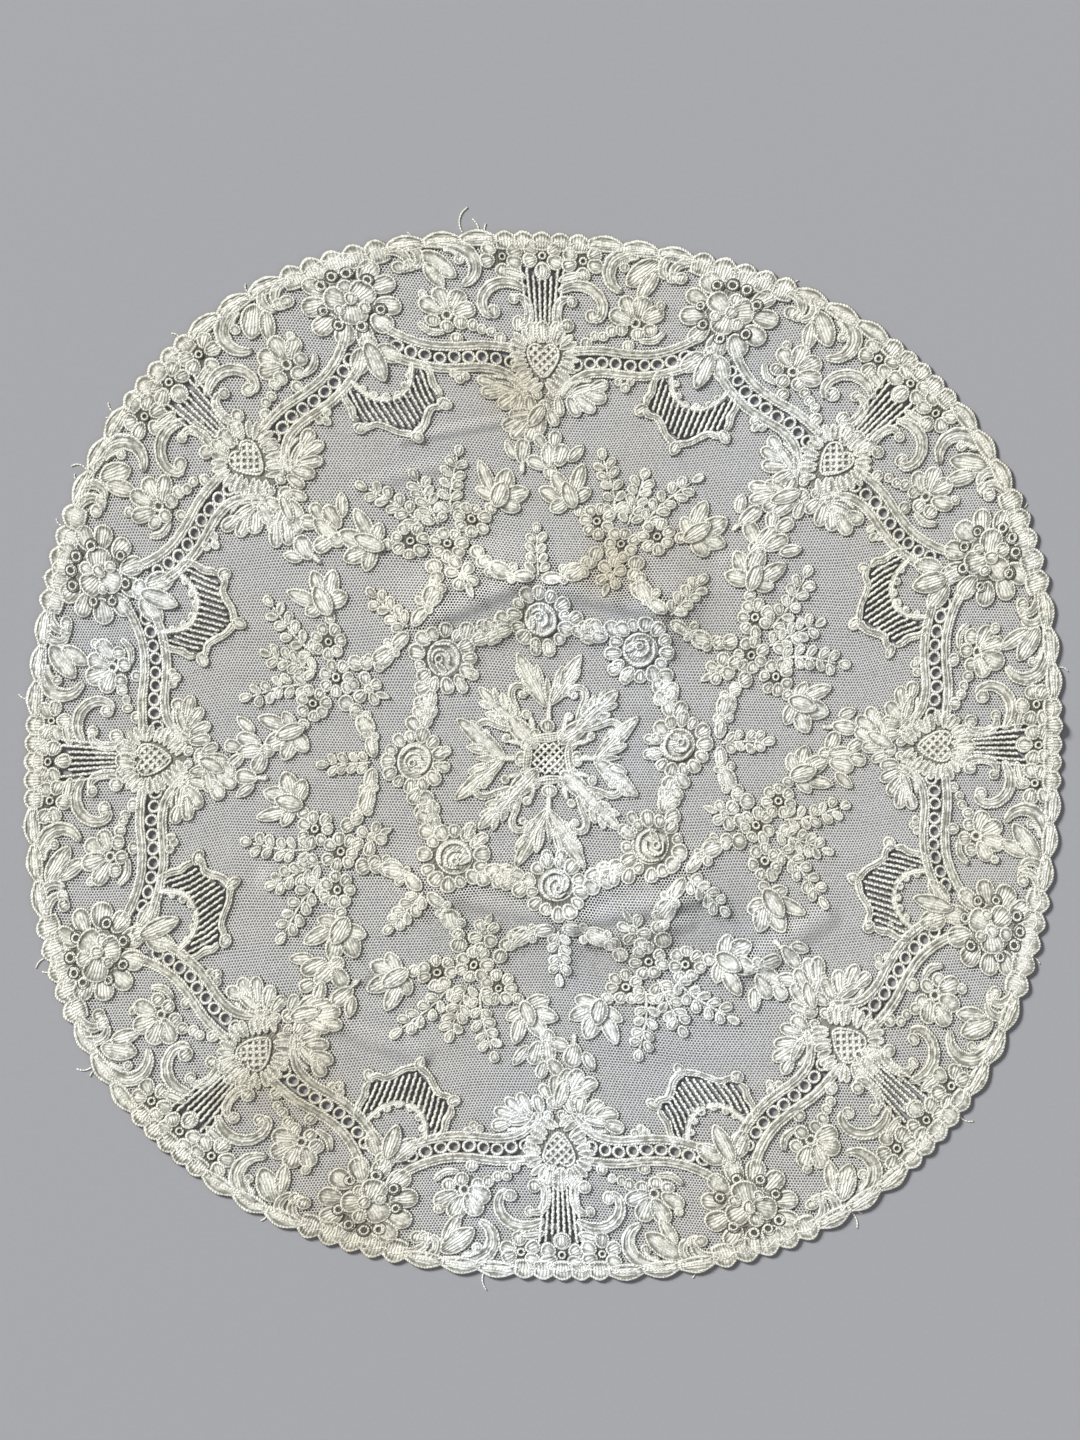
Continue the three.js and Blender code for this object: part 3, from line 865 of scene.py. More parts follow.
class Needlework:
    """The stitching of one piece, as joined arrays of points and faces in flat pattern millimetres."""

    def __init__(self, name):
        self.name = name
        self.points = []
        self.threads = []
        self.stitches = []
        self.laps = []
        self.painted_shades = []
        self.faces = []
        self.count = 0

    def add(self, points, faces, threads, stitches, painted_shades, turn, lap=0.0):
        self.points.append(turned(points, turn))
        self.threads.append(threads)
        self.stitches.append(stitches)
        self.laps.append(np.full(len(points), lap))
        self.painted_shades.append(painted_shades)
        self.faces += [tuple(i + self.count for i in face) for face in faces]
        self.count += len(points)

    def pad(self, outline, spine, rise, turn, cord=CORD, painted_shade_scale=1.0, ahead=(0.0, 1.0)):
        """A padded shape, drawn anticlockwise: a cord along its outline and a lower fill towards its spine.

        The fill's stitches run ahead and fan out a little from the shape's base.
        """
        count = len(outline)
        rise *= rng.uniform(*PAD_RISES)
        inwards = spine - outline
        reach = np.linalg.norm(inwards, axis=1)
        cord = min(cord, NARROW_CORD * reach.min() + LEAST_CORD)
        step = np.linalg.norm(np.roll(outline, -1, axis=0) - outline, axis=1)
        along = np.concatenate([[0], np.cumsum(step)[:-1]])
        fill = FILL_SHARE * rise
        # Each section: its inset, its level and its painted shade, from 0 at the foot to 1 on the cord's
        # crest
        sections = [(-PAD_SPREAD, FOOT, 0), (PAD_SIDE, 0.5 * rise, PAD_SIDE_SHADE), (0.5 * cord, rise, 1)]
        if reach.max() < SMALL_PAD:
            sections.append((CORD_INSIDE * cord, fill, SMALL_PAD_SHADE))
        else:
            sections.append((CORD_INSIDE * cord, fill, HOLLOW_SHADE))
            sections.append((0.5 * (cord + reach), fill + FILL_SWELL * rise, FILL_SHADE))
            sections.append((FILL_REACH * reach, fill + CROWN_SWELL * rise, CROWN_SHADE))
        middle = spine.mean(axis=0)
        far = np.abs((outline - middle) @ ahead).max()
        points, threads, stitches, painted_shades = [], [], [], []
        # height here is the section's painted shade, not a level
        for inset, z, height in sections:
            share = np.minimum(inset / np.maximum(reach, LEAST_REACH), FILL_REACH)[:, None]
            flat = outline + inwards * share
            points.append(np.column_stack([flat, np.full(count, z)]))
            threads.append(np.column_stack([along, share[:, 0] * reach]))
            sideways = (flat - middle) @ (-ahead[1], ahead[0])
            stitches.append(sideways / (1 + STITCH_FAN * ((flat - middle) @ ahead) / far))
            # The painted shade of each section, scaled for the whole shape
            painted_shades.append(np.full(count, height * painted_shade_scale))
        top = (len(sections) - 1) * count
        faces = [tuple(reversed(face)) for face in zipped(count)]
        faces += [tuple(i + top for i in face) for face in zipped(count)]
        faces += tube(len(sections), count)
        stitches, painted_shades = np.concatenate(stitches), np.concatenate(painted_shades)
        self.add(np.vstack(points), faces, np.vstack(threads), stitches, painted_shades, turn, step.sum())

    def leaf(self, row, turn=0.0):
        small = max(row.length, row.width) < SMALL_LEAF
        way = ring_points(SMALL_LEAF_POINTS if small else LEAF_POINTS)
        along, across = np.cos(way), np.sin(way)
        across = across * np.abs(across) ** POINT[row.form] * (1 + TAPER[row.form] * along)
        length = FULLNESS * row.length * (1 + UNEVEN_SIZE * rng.normal()) / 2
        width = FULLNESS * row.width * (1 + UNEVEN_SIZE * rng.normal()) / 2
        local = np.column_stack([along * length, across * width])
        reach = np.array([max(length - width, 0), max(width - length, 0)]) * LEAF_SPINE
        spine = local.clip(-reach, reach)
        ahead = aimed(row.aim + UNEVEN_AIM * rng.normal())
        axes = np.array([ahead, [-ahead[1], ahead[0]]])
        place = np.array([row.x, row.y]) + UNEVEN_PLACE * rng.normal(size=2)
        self.pad(local @ axes + place, spine @ axes + place, row.rise, turn, ahead=ahead)

    def ground(self, x, y, radius, turn=0.0, rise=GROUND_RISE, painted_shade_scale=GROUND_PAINTED_SHADE, lobes=0):
        """A low round ground between petals, painted dark as their shade."""
        way = ring_points(GROUND_POINTS)
        outline = polar(radius * (1 + GROUND_LOBE * np.cos(lobes * way)), way) + (x, y)
        self.pad(outline, np.tile([[x, y]], (GROUND_POINTS, 1)), rise, turn, GROUND_CORD, painted_shade_scale)

    def eye(self, row, turn=0.0):
        """A corded eyelet on a low disc painted dark as a shaded hollow."""
        rise = row.rise + EYE_HOLLOW_RISE
        self.ground(row.x, row.y, row.radius + EYE_HOLLOW, turn, rise, EYE_HOLLOW_PAINTED_SHADE)
        self.ring(row._replace(rise=row.rise + EYE_RISE), turn)

    def ring(self, row, turn=0.0):
        rise = row.rise * rng.uniform(*RING_RISES)
        sections = [
            (row.radius + RING_SPREAD, FOOT, 0),
            (row.radius, RING_SIDE * rise, RING_SIDE_SHADE),
            (0.5 * (row.radius + row.hole), rise, 1),
            (row.hole, RING_INSIDE * rise, HOLLOW_SHADE),
            (row.hole, FOOT, 0),
        ]
        way = ring_points(RING_POINTS)
        place = np.array([row.x, row.y]) + RING_SLIP * rng.normal(size=2)
        circle = polar(1, way) * (1 + UNEVEN_SIZE * rng.normal(size=2))
        points, threads, painted_shades = [], [], []
        # height here is the section's painted shade, not a level
        for radius, z, height in sections:
            points.append(np.column_stack([circle * radius + place, np.full(RING_POINTS, z)]))
            threads.append(np.column_stack([way * row.radius, np.full(RING_POINTS, row.radius - radius)]))
            painted_shades.append(np.full(RING_POINTS, height))
        faces = tube(len(sections), RING_POINTS, closed=True)
        threads, painted_shades = np.vstack(threads), np.concatenate(painted_shades)
        lap = 2 * math.pi * row.radius
        self.add(np.vstack(points), faces, threads, threads[:, 1], painted_shades, turn, lap)

    def band(self, row, turn=0.0, step=BAND_STEP, foot=FOOT):
        """A round cord, or a pair of cords with a fill between them where the band is wide."""
        line, run = smooth_route(row.route, step)
        count = len(line)
        left = sides_of(line)
        if row.wobble:
            swing = np.sin(run * 2 * math.pi / WOBBLE_LENGTH + rng.uniform(*SWAY_STARTS))
            line = line + left * (row.wobble * swing)[:, None]
        widths = np.interp(np.linspace(0, 1, count), np.linspace(0, 1, len(row.widths)), row.widths)
        widths = widths * (1 + WIDTH_SWAY * np.sin(run * WIDTH_SWAY_RATE + rng.uniform(*SWAY_STARTS)))
        if max(row.widths) > FULL_BAND:
            widths = widths * FULLNESS
        widths[[0, -1]] *= BAND_END
        rise = row.rise * rng.uniform(*BAND_RISES)
        half = widths / 2
        if max(row.widths) < CORDED_BAND:
            sides = [half + ROUND_SPREAD, ROUND_SHOULDER * half]
            levels = [foot, rise - ROUND_DROP * abs(rise), rise]
            shades = ROUND_SHADES if widths.max() > FINE_BAND else FINE_SHADES
        else:
            fill = FILL_SHARE * rise
            insets = [np.minimum(most, share * half) for most, share in (CORDED_CREST, CORDED_INSIDE)]
            sides = [half + CORDED_SPREAD, half - CORDED_SIDE, *(half - inset for inset in insets)]
            levels = [foot, 0.5 * rise, rise, fill, fill + CORDED_SWELL * rise]
            shades = CORDED_SHADES
        across = [*sides, 0 * half, *(-side for side in reversed(sides))]
        levels += levels[-2::-1]
        wide = len(across)
        points, threads = [], []
        for away, z in zip(across, levels):
            points.append(np.column_stack([line + left * away[:, None], np.full(count, z)]))
            threads.append(np.column_stack([run, half - np.abs(away)]))
        points = np.stack(points, axis=1).reshape(-1, 3)
        threads = np.stack(threads, axis=1).reshape(-1, 2)
        stitches = np.stack(across, axis=1).ravel()
        # The painted shade across the band, from its feet to its crests
        painted_shades = np.tile([*shades, *shades[-2::-1]], count)
        faces = tube(count, wide)
        faces.append(tuple(reversed(range(wide))))
        faces.append(tuple(range((count - 1) * wide, count * wide)))
        self.add(points, faces, threads, stitches, painted_shades, turn)

    def work(self, rows, turn=0.0):
        for row in rows:
            if isinstance(row, Leaf):
                self.leaf(row, turn)
            elif isinstance(row, Ring):
                self.ring(row, turn)
            else:
                self.band(row, turn)

    def both_sides(self, rows, turn=0.0):
        self.work(rows, turn)
        self.work([row.mirrored() for row in rows], turn)

    def floweret(self, x, y, reach, aims, size, turn):
        """Petals round a place."""
        for aim in aims:
            place = np.array([x, y]) + reach * aimed(aim)
            self.leaf(petal(*place, *size, aim), turn)

    def frond(self, route, pairs, turn, lean=FROND_LEAN):
        """Leaf pairs along a stem, with one leaf at the tip."""
        line, _ = smooth_route(route, FROND_STEP)
        last = len(line) - 2
        self.band(Band(FROND_STEM, route, STEM_RISE), turn)
        for share in np.linspace(FROND_START, 1, pairs + 1)[:-1]:
            k = min(int(share * (len(line) - 1)), last)
            aim = aim_at(line, k)
            for way in (aim + lean, aim - lean):
                place = line[k] + FROND_REACH * aimed(way) + FROND_SET * aimed(aim)
                self.leaf(petal(*place, *FROND_LEAF, way), turn)
        aim = aim_at(line, last)
        self.leaf(petal(*(line[-1] + FROND_TIP * aimed(aim)), *FROND_LEAF, aim), turn)

    def flutes(self, route, gap, size, turn):
        """A frill of short pads across a route, on both sides of the axis."""
        line, run = smooth_route(route, FINE_STEP)
        for place in np.arange(FLUTE_START * gap, run[-1], gap):
            k = min(int(place / run[1]), len(line) - 2)
            self.work(paired(petal(*line[k], *size, aim_at(line, k) - 90)), turn)

    def lattice(self, outline, gap, thread, turn):
        """Crossing threads that fill an outline and leave small holes."""
        middle = outline.mean(axis=0)
        reach = np.abs(outline - middle).max() * LATTICE_REACH
        for aim in (45, -45):
            way, side = aimed(aim), aimed(aim + 90)
            for offset in np.arange(-reach, reach, gap):
                steps = np.arange(-reach, reach, LATTICE_STEP)
                places = middle + side * offset + way * steps[:, None]
                held = np.flatnonzero(inside(places, outline))
                if len(held) > LATTICE_LEAST:
                    route = (places[held[0]], places[held[-1]])
                    self.band(Band((thread,), route, STEM_RISE), turn)


def repeats(turn=0.0, count=REPEATS):
    return [turn + i * 360 / count for i in range(count)]


def scalloped_edge():
    """Petals and long arcs along the rim, each with its own cord, and a second cord inside them."""
    edge = Needlework("scalloped_edge")
    walked = EDGE_START
    for row in EDGE_SCALLOPS * REPEATS:
        swell = row.swell * np.sin(np.linspace(0, math.pi, SCALLOP_POINTS))
        radius = EDGE_NOTCH_RADIUS + swell
        inner_radius = EDGE_NOTCH_RADIUS - row.reach_in - SCALLOP_INSIDE_SWELL * swell
        for _ in range(row.number):
            run = np.linspace(walked + row.width, walked, SCALLOP_POINTS)
            outer = polar(radius, np.radians(90 - run / EDGE_REPEAT * REPEAT_ANGLE))
            inner = (outer * (inner_radius / radius)[:, None])[::-1]
            outline = np.vstack([outer, inner])
            middle = outline.mean(axis=0)
            outline = middle + (outline - middle) * (1 + SCALLOP_OVERLAP / row.width)
            out = math.degrees(math.atan2(*middle))
            axes = np.array([aimed(out), aimed(out - 90)])
            reach = np.array([0, max(row.width / 2 - SCALLOP_SPINE_END, 0)])
            spine = middle + ((outline - middle) @ axes.T).clip(-reach, reach) @ axes
            ahead = aimed(out if row.width < LONG_SCALLOP else out - 90)
            edge.pad(outline, spine, RISE, 0.0, EDGE_CORD, ahead=ahead)
            walked += row.width
    line = scallop_line(INNER_CORD_INSET, INNER_CORD_SWELL)
    edge.band(Band((INNER_CORD,), np.vstack([line, line[:1]]), INNER_CORD_RISE), step=INNER_CORD_STEP)
    return edge


def vases():
    """Flowerets over a vase of open threads between two scrolls."""
    vase = Needlework("vases")
    for turn in repeats():
        for x, y in VASE_EYES:
            vase.ground(x, y, FLOWERET_REACH, turn)
            vase.floweret(x, y, FLOWERET_REACH, FLOWERET_AIMS, FLOWERET_PETAL, turn)
            vase.ring(Ring(x, y, EYE, EYE_HOLE, HIGH_RISE), turn)
        vase.work(VASE_MIDDLE, turn)
        vase.both_sides(VASE_SIDE, turn)
        for i in range(VASE_THREADS):
            k = i - (VASE_THREADS - 1) / 2
            mouth = VASE_MIDDLE_MOUTH if abs(k) < VASE_MIDDLE_THREADS else VASE_MOUTH
            foot = VASE_FOOT + VASE_FOOT_CURVE * max(abs(k) - VASE_MIDDLE_THREADS, 0) ** VASE_FOOT_POWER
            height = np.array([mouth, foot]) - VASE_FOOT
            gap = VASE_THREAD_GAP + (VASE_FLARE - VASE_THREAD_GAP) * height / VASE_HEIGHT
            route = ((k * gap[0], mouth), (k * gap[1], foot))
            vase.band(Band((VASE_THREAD,), route, RISE, THREAD_WOBBLE), turn, THREAD_STEP)
    return vase


def shield_outline():
    return np.array([*((-x, y) for x, y in SHIELD_ROUTE), *reversed(SHIELD_ROUTE)])


def hearts():
    """A latticed heart on a fluted shield, with a palmette and leaves below it."""
    heart = Needlework("hearts")
    left = [(-x, y) for x, y in HEART_SIDE[1:-1]]
    outline, _ = smooth_route([*HEART_SIDE, *reversed(left), HEART_SIDE[0]], HEART_STEP)
    shield = shield_outline()
    spine = np.tile(shield.mean(axis=0), (len(shield), 1))
    for turn in repeats():
        # The shield: a low ground painted darker, as shade round the heart
        heart.pad(shield, spine, SHIELD_GROUND, turn, GROUND_CORD, SHIELD_PAINTED_SHADE)
        heart.band(Band((HEART_CORD,), outline), turn, HEART_CORD_STEP)
        heart.lattice(outline, HEART_LATTICE_GAP, HEART_LATTICE_THREAD, turn)
        heart.both_sides(SHIELD_SIDE, turn)
        heart.flutes(SHIELD_ROUTE, SHIELD_GAP, SHIELD_FLUTE, turn)
        heart.both_sides(PALMETTE, turn)
        heart.work(HEART_LEAVES, turn)
    return heart


def bead_bands():
    """Rows of bead rings between two rails."""
    beads = Needlework("bead_bands")
    line, run = smooth_route(BEAD_ROUTE, FINE_STEP)
    rings = []
    for place in np.arange(0, run[-1], BEAD_GAP):
        x, y = (np.interp(place, run, line[:, i]) for i in range(2))
        rings.append(Ring(x, y, BEAD, BEAD_HOLE, BEAD_RISE))
    for turn in repeats():
        beads.both_sides(rings, turn)
        beads.both_sides(RAILS, turn)
        beads.both_sides(RAIL_BUDS, turn)
    return beads


def border_leaves():
    """Scrolled leaves at the edge and a blossom on each side of a vase."""
    leaves = Needlework("border_leaves")
    x, y = BLOSSOM_PLACE
    for turn in repeats():
        leaves.both_sides(EDGE_LEAVES, turn)
        leaves.ground(x, y, BLOSSOM_GROUND, turn)
        leaves.ground(-x, y, BLOSSOM_GROUND, turn)
        leaves.both_sides(BLOSSOM, turn)
    return leaves


def big_flowers():
    """A double flower with eyelets, and a scroll on each side of it."""
    flower = Needlework("big_flowers")
    aims = [360 / FLOWER_PETALS * (i + 0.5) for i in range(FLOWER_PETALS)]
    for turn in repeats(CORNER_TURN):
        flower.ground(0, FLOWER_Y, FLOWER_GROUND, turn)
        flower.floweret(0, FLOWER_Y, FLOWER_REACH, aims, FLOWER_PETAL, turn)
        # The flower's heart: a lobed ground painted half in shade between its petals
        flower.ground(0, FLOWER_Y, FLOWER_HEART, turn, RISE, FLOWER_HEART_PAINTED_SHADE, FLOWER_LOBES)
        flower.work(FLOWER_MIDDLE, turn)
        for row in FLOWER_EYES:
            flower.eye(row, turn)
        flower.both_sides(FLOWER_SCROLL, turn)
    return flower


def canopies():
    """A bud over an opening with open threads, framed by scrolls."""
    canopy = Needlework("canopies")
    for turn in repeats(CORNER_TURN):
        canopy.work(CANOPY_BUD, turn)
        canopy.both_sides(CANOPY_SIDE, turn)
        canopy.leaf(CANOPY_TIP, turn)
        for i in range(CANOPY_THREADS):
            x = (i - (CANOPY_THREADS - 1) / 2) * CANOPY_THREAD_GAP
            top = CANOPY_TOP + CANOPY_ARCH * x * x
            foot = CANOPY_FOOT + CANOPY_SLOPE * abs(x)
            route = ((x, top), (x * CANOPY_THREAD_FAN, foot))
            canopy.band(Band((CANOPY_THREAD,), route, RISE, THREAD_WOBBLE), turn, THREAD_STEP)
    return canopy


def sprays():
    """Flower sprays with fronds, and the sprig that hangs below each heart."""
    spray = Needlework("sprays")
    aims = [i * 360 / SPRAY_EYE_PETALS for i in range(SPRAY_EYE_PETALS)]
    for turn in repeats(SPRAY_TURN):
        for eye in SPRAY_EYES:
            spray.ground(eye.x, eye.y, SPRAY_EYE_REACH, turn)
            spray.floweret(eye.x, eye.y, SPRAY_EYE_REACH, aims, SPRAY_EYE_PETAL, turn)
            spray.ring(eye, turn)
        for route, pairs in FRONDS:
            spray.frond(route, pairs, turn)
        spray.both_sides(SPRAY_SIDE, turn)
        spray.work(SPRAY_TAIL, turn)
    for turn in repeats():
        spray.work(HEART_SPRIG, turn)
    return spray


def roses():
    """The wreath: ruffled roses with ferns and leaves between them."""
    rose = Needlework("roses")
    for turn in repeats(INNER_TURN):
        rose.frond(*FERN, turn, FERN_LEAN)
        rose.both_sides(GARLAND_SIDE, turn)
        rose.ground(0, ROSE_Y, ROSE_GROUND, turn)
        rose.leaf(ball(0, ROSE_BUD_Y, 2 * ROSE_BUD, 2 * ROSE_BUD, 0, ROSE_BUD_RISE), turn)
        rose.work([*ROSE_FOLDS, ROSE_EYE], turn)
        rose.both_sides(ROSE_SIDE, turn)
        for i in range(ROSE_RUFFLE):
            share = ROSE_PETAL_SHARES[i % len(ROSE_PETAL_SHARES)]
            reach = ROSE_RUFFLE_REACH * (1 - ROSE_RUFFLE_SWAY + ROSE_RUFFLE_SWAY * share)
            size = [side * share for side in ROSE_PETAL]
            rose.floweret(0, ROSE_Y, reach, [i * 360 / ROSE_RUFFLE], size, turn)
    return rose


def centre_star():
    """Leaves on the upright and level arms, scrolled leaves between them, and a latticed square."""
    star = Needlework("centre_star")
    for turn, share in zip(repeats(0, STAR_ARMS), STAR_SHARES):
        start = len(star.points)
        star.work(STAR_LEAVES, turn)
        star.points[start:] = [points * (*share, 1) for points in star.points[start:]]
    for turn in repeats(180 / STAR_ARMS, STAR_ARMS):
        star.work(STAR_ARM_MIDDLE, turn)
        star.both_sides(STAR_ARM_SIDE, turn)
    star.lattice(STAR_CORNERS, STAR_SQUARE_GAP, STAR_SQUARE_THREAD, 0.0)
    for turn in repeats(0, STAR_ARMS):
        star.work(STAR_FRAME, turn)
    star.points = [points + np.array([*STAR_MIDDLE, 0]) for points in star.points]
    return star


def frayed_threads():
    """Loose ends that curl out from under the rim."""
    thread = Needlework("frayed_threads")
    for row in FRAYED_ENDS:
        out = 90 - row.angle
        route = [FRAYED_RADIUS * aimed(out)]
        for i in range(FRAYED_STEPS):
            aim = out - FRAYED_LEAN * row.curl + row.curl * i / (FRAYED_STEPS - 1)
            route.append(route[-1] + row.length / FRAYED_STEPS * aimed(aim))
        end = Band((FRAYED_WIDTH,), route, FRAYED_LEVEL)
        thread.band(end, 0.0, FRAYED_STEP, FRAYED_LEVEL - FRAYED_WIDTH)
    return thread


class Socket:
    """A node's output, or a number, that shader maths can be written with."""

    def __init__(self, nodes, out):
        self.nodes = nodes
        self.out = out

    def maths(self, operation, *others):
        return self.nodes.add("ShaderNodeMath", {"operation": operation}, *others)

    def __add__(self, other):
        return self.maths("ADD", self, other)

    def __sub__(self, other):
        return self.maths("SUBTRACT", self, other)

    def __mul__(self, other):
        return self.maths("MULTIPLY", self, other)

    def __truediv__(self, other):
        return self.maths("DIVIDE", self, other)

    def __rsub__(self, other):
        return self.maths("SUBTRACT", other, self)

    __radd__ = __add__
    __rmul__ = __mul__


class Finish:
    """One material and its nodes."""

    def __init__(self, name):
        self.material = bpy.data.materials.new(name)
        self.material.use_nodes = True
        self.tree = self.material.node_tree
        self.shader = self.tree.nodes["Principled BSDF"]

    def link(self, value, socket):
        if isinstance(value, Socket):
            self.tree.links.new(value.out, socket)
        else:
            socket.default_value = value

    def add(self, kind, settings, *inputs, out=0, **named):
        node = self.tree.nodes.new(kind)
        for key, value in settings.items():
            setattr(node, key, value)
        for socket, value in zip(node.inputs, inputs):
            self.link(value, socket)
        for key, value in named.items():
            self.link(value, node.inputs[key.replace("_", " ")])
        return Socket(self, node.outputs[out])

    def between(self, value, low, high):
        """0 below low, 1 above high, and smooth in between."""
        settings = {"interpolation_type": "SMOOTHSTEP"}
        return self.add("ShaderNodeMapRange", settings, value, low, high, 0.0, 1.0)

    def colour(self, share, first, second):
        mix = self.add("ShaderNodeMix", {"data_type": "RGBA"}, out=2)
        node = mix.out.node
        for value, socket in zip((share, first, second), (node.inputs[0], node.inputs[6], node.inputs[7])):
            self.link(value, socket)
        return mix

    def noise(self, place, scale, detail=2.0):
        return self.add("ShaderNodeTexNoise", {}, Vector=place, Scale=scale, Detail=detail)

    def place(self):
        return self.add("ShaderNodeTexCoord", {}, out=3)

    def attribute(self, name):
        return self.add("ShaderNodeAttribute", {"attribute_name": name}, out=2)

    def into(self, name, value):
        self.link(value, self.shader.inputs[name])


def places_on_mat(finish, place, rows):
    """How strongly a point belongs to places that fade outwards."""
    total = 0.0
    for row in rows:
        middle = (row.x * MM, row.y * MM, PATCH_LEVEL)
        away = finish.add("ShaderNodeVectorMath", {"operation": "DISTANCE"}, place, middle, out=1)
        near = 1 - finish.between(away, PATCH_CORE * row.radius * MM, row.radius * MM)
        total = total + near * row.strength
    return finish.between(total, 0.0, 1.0)


def ageing(finish, place, cotton):
    """Ivory thread, a lighter, cooler white in some places and stained in others, unevenly."""
    drift = finish.between(finish.noise(place, COOL_DRIFT_GRAIN, 3.0), 0.38, 0.62)
    mottle = finish.between(finish.noise(place, WEAR_GRAIN), 0.25, 0.75)
    cool_white = places_on_mat(finish, place, COOL_PLACES) * (0.5 + 0.5 * mottle) + 0.35 * drift
    colour = finish.colour(cool_white, cotton.ivory, cotton.cool_white)
    stained = places_on_mat(finish, place, STAINS) * (0.55 + 0.45 * mottle)
    return finish.colour(stained, colour, cotton.stained)


def corded_thread():
    """Embroidery cotton: cords and satin fill with fine thread lines, and painted shade where the stitches
    dip.
    """
    finish = Finish("corded_thread")
    place = finish.place()
    height = finish.attribute("height")
    along = finish.add("ShaderNodeSeparateXYZ", {}, finish.add("ShaderNodeUVMap", {"uv_map": "thread"}))
    across = Socket(finish, along.out.node.outputs[1])
    sideways = finish.attribute("stitch")
    ivory = ageing(finish, place, EMBROIDERY)
    fibre = finish.noise(place, FIBRE_GRAIN, 3.0)
    tuft = finish.noise(place, TUFT_GRAIN)
    patch = finish.noise(place, SHADE_NOISE_GRAIN)
    cord = 1 - finish.between(across, *CORD_REACH)
    ribs = sideways * (2 * math.pi / STITCH_PITCH) + tuft * TUFT_SHIFT
    rows = finish.add("ShaderNodeMath", {"operation": "COSINE"}, ribs)
    slant = (along + across * TWIST_SLANT) * (2 * math.pi / TWIST_PITCH) + tuft * TUFT_SHIFT
    twist = finish.add("ShaderNodeMath", {"operation": "SINE"}, slant)
    # Painted shade: the 'height' attribute, shifted by noise, mixes the ivory towards a shade colour
    shade_noise = 0.3 * finish.between(tuft, 0.36, 0.64) + 0.22 * finish.between(patch, 0.36, 0.64)
    painted_light = finish.between(height + shade_noise - 0.26, 0.12, 0.94)
    # Random fibre mottle, and painted shade in the grooves between twists and stitch rows
    mottle = 0.6 + 0.15 * finish.between(fibre, 0.32, 0.62) + 0.25 * finish.between(twist, -0.9, 0.4) * cord
    mottle = mottle + 0.25 * finish.between(rows, -0.9, 0.5) * (1 - cord)
    # The painted shade colour, and below 0 the painted shadow colour of hollows and low grounds
    painted_shade_colour = finish.colour(0.86, ivory, EMBROIDERY.shaded)
    painted_shade_colour = finish.colour(finish.between(height, -0.35, 0.0), PAINTED_SHADOW_COLOUR, painted_shade_colour)
    finish.into("Base Color", finish.colour(painted_light * mottle, painted_shade_colour, ivory))
    finish.into("Roughness", 0.82)
    finish.into("Specular IOR Level", 0.25)
    finish.into("Sheen Weight", 0.12)
    relief = rows * (1 - cord) * RIB_RELIEF + twist * cord * TWIST_RELIEF
    relief = relief + fibre * FIBRE_RELIEF + tuft * TUFT_RELIEF
    finish.into("Normal", finish.add("ShaderNodeBump", {}, Strength=0.75, Distance=0.0003, Height=relief))
    return finish.material


def net_thread():
    """Thin net cotton, a little greyer than the embroidery, with painted shade in the twist of its thread.
    """
    finish = Finish("net_thread")
    place = finish.place()
    aged = ageing(finish, place, NET_COTTON)
    twist = finish.noise(place, NET_GRAIN, 1.0)
    finish.into("Base Color", finish.colour(finish.between(twist, 0.25, 0.6), NET_COTTON.shaded, aged))
    finish.into("Roughness", 0.85)
    finish.into("Specular IOR Level", 0.2)
    finish.into("Normal", finish.add("ShaderNodeBump", {}, Strength=0.5, Distance=0.0001, Height=twist))
    return finish.material


def floor_paint():
    finish = Finish("pale_floor")
    grain = finish.noise(finish.place(), FLOOR_GRAIN)
    finish.into("Base Color", finish.colour(grain, *FLOOR_COLOURS))
    finish.into("Roughness", 0.9)
    return finish.material


def mesh_piece(name, points, faces, material):
    """A piece at its place on the mat with a flat map of the mat, and the vertex at each face's corners."""
    mesh = bpy.data.meshes.new(name)
    mesh.from_pydata(points.tolist(), [], faces)
    mesh.polygons.foreach_set("use_smooth", np.full(len(mesh.polygons), True))
    mesh.materials.append(material)
    corner = np.empty(len(mesh.loops), np.int32)
    mesh.loops.foreach_get("vertex_index", corner)
    span = (np.array(cad_box[1]) - np.array(cad_box[0]))[:2].max() * MAP_SHARE
    flat = mesh.uv_layers.new(name="OFBake")
    flat.data.foreach_set("uv", ((points[corner, :2] / span) + 0.5).ravel())
    piece = bpy.data.objects.new(name, mesh)
    bpy.context.scene.collection.objects.link(piece)
    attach(piece, "root")
    return piece, corner


def finished(needlework, material):
    """A piece of stitching, with its thread map and the attributes that its material reads."""
    points = laid(np.vstack(needlework.points))
    piece, corner = mesh_piece(needlework.name, points, needlework.faces, material)
    mesh = piece.data
    threads = np.vstack(needlework.threads)[corner]
    laps = np.concatenate(needlework.laps)[corner]
    starts = np.array([face.loop_start for face in mesh.polygons])
    counts = np.diff([*starts, len(corner)])
    longest = np.repeat(np.maximum.reduceat(threads[:, 0], starts), counts)
    threads[:, 0] += laps * (longest - threads[:, 0] > LAP_JUMP * laps)
    mesh.uv_layers.new(name="thread").data.foreach_set("uv", threads.ravel())
    # The 'height' attribute carries each point's painted shade, and 'stitch' the way its stitches run
    for name, values in (("height", needlework.painted_shades), ("stitch", needlework.stitches)):
        mesh.attributes.new(name, "FLOAT", "POINT").data.foreach_set("value", np.concatenate(values))
    return piece


def stitched_over(works):
    """A test for flat places: which of them lie under stitching."""
    points = np.vstack([np.vstack(work.points) for work in works])
    faces, start = [], 0
    for work in works:
        faces += [tuple(i + start for i in face) for face in work.faces]
        start += work.count
    tree = BVHTree.FromPolygons(points.tolist(), faces)
    down = Vector((0, 0, -1))

    def under(places):
        hits = [tree.ray_cast(Vector((x, y, RAY_START)), down)[0] for x, y in places]
        return np.array([hit is not None for hit in hits])

    return under


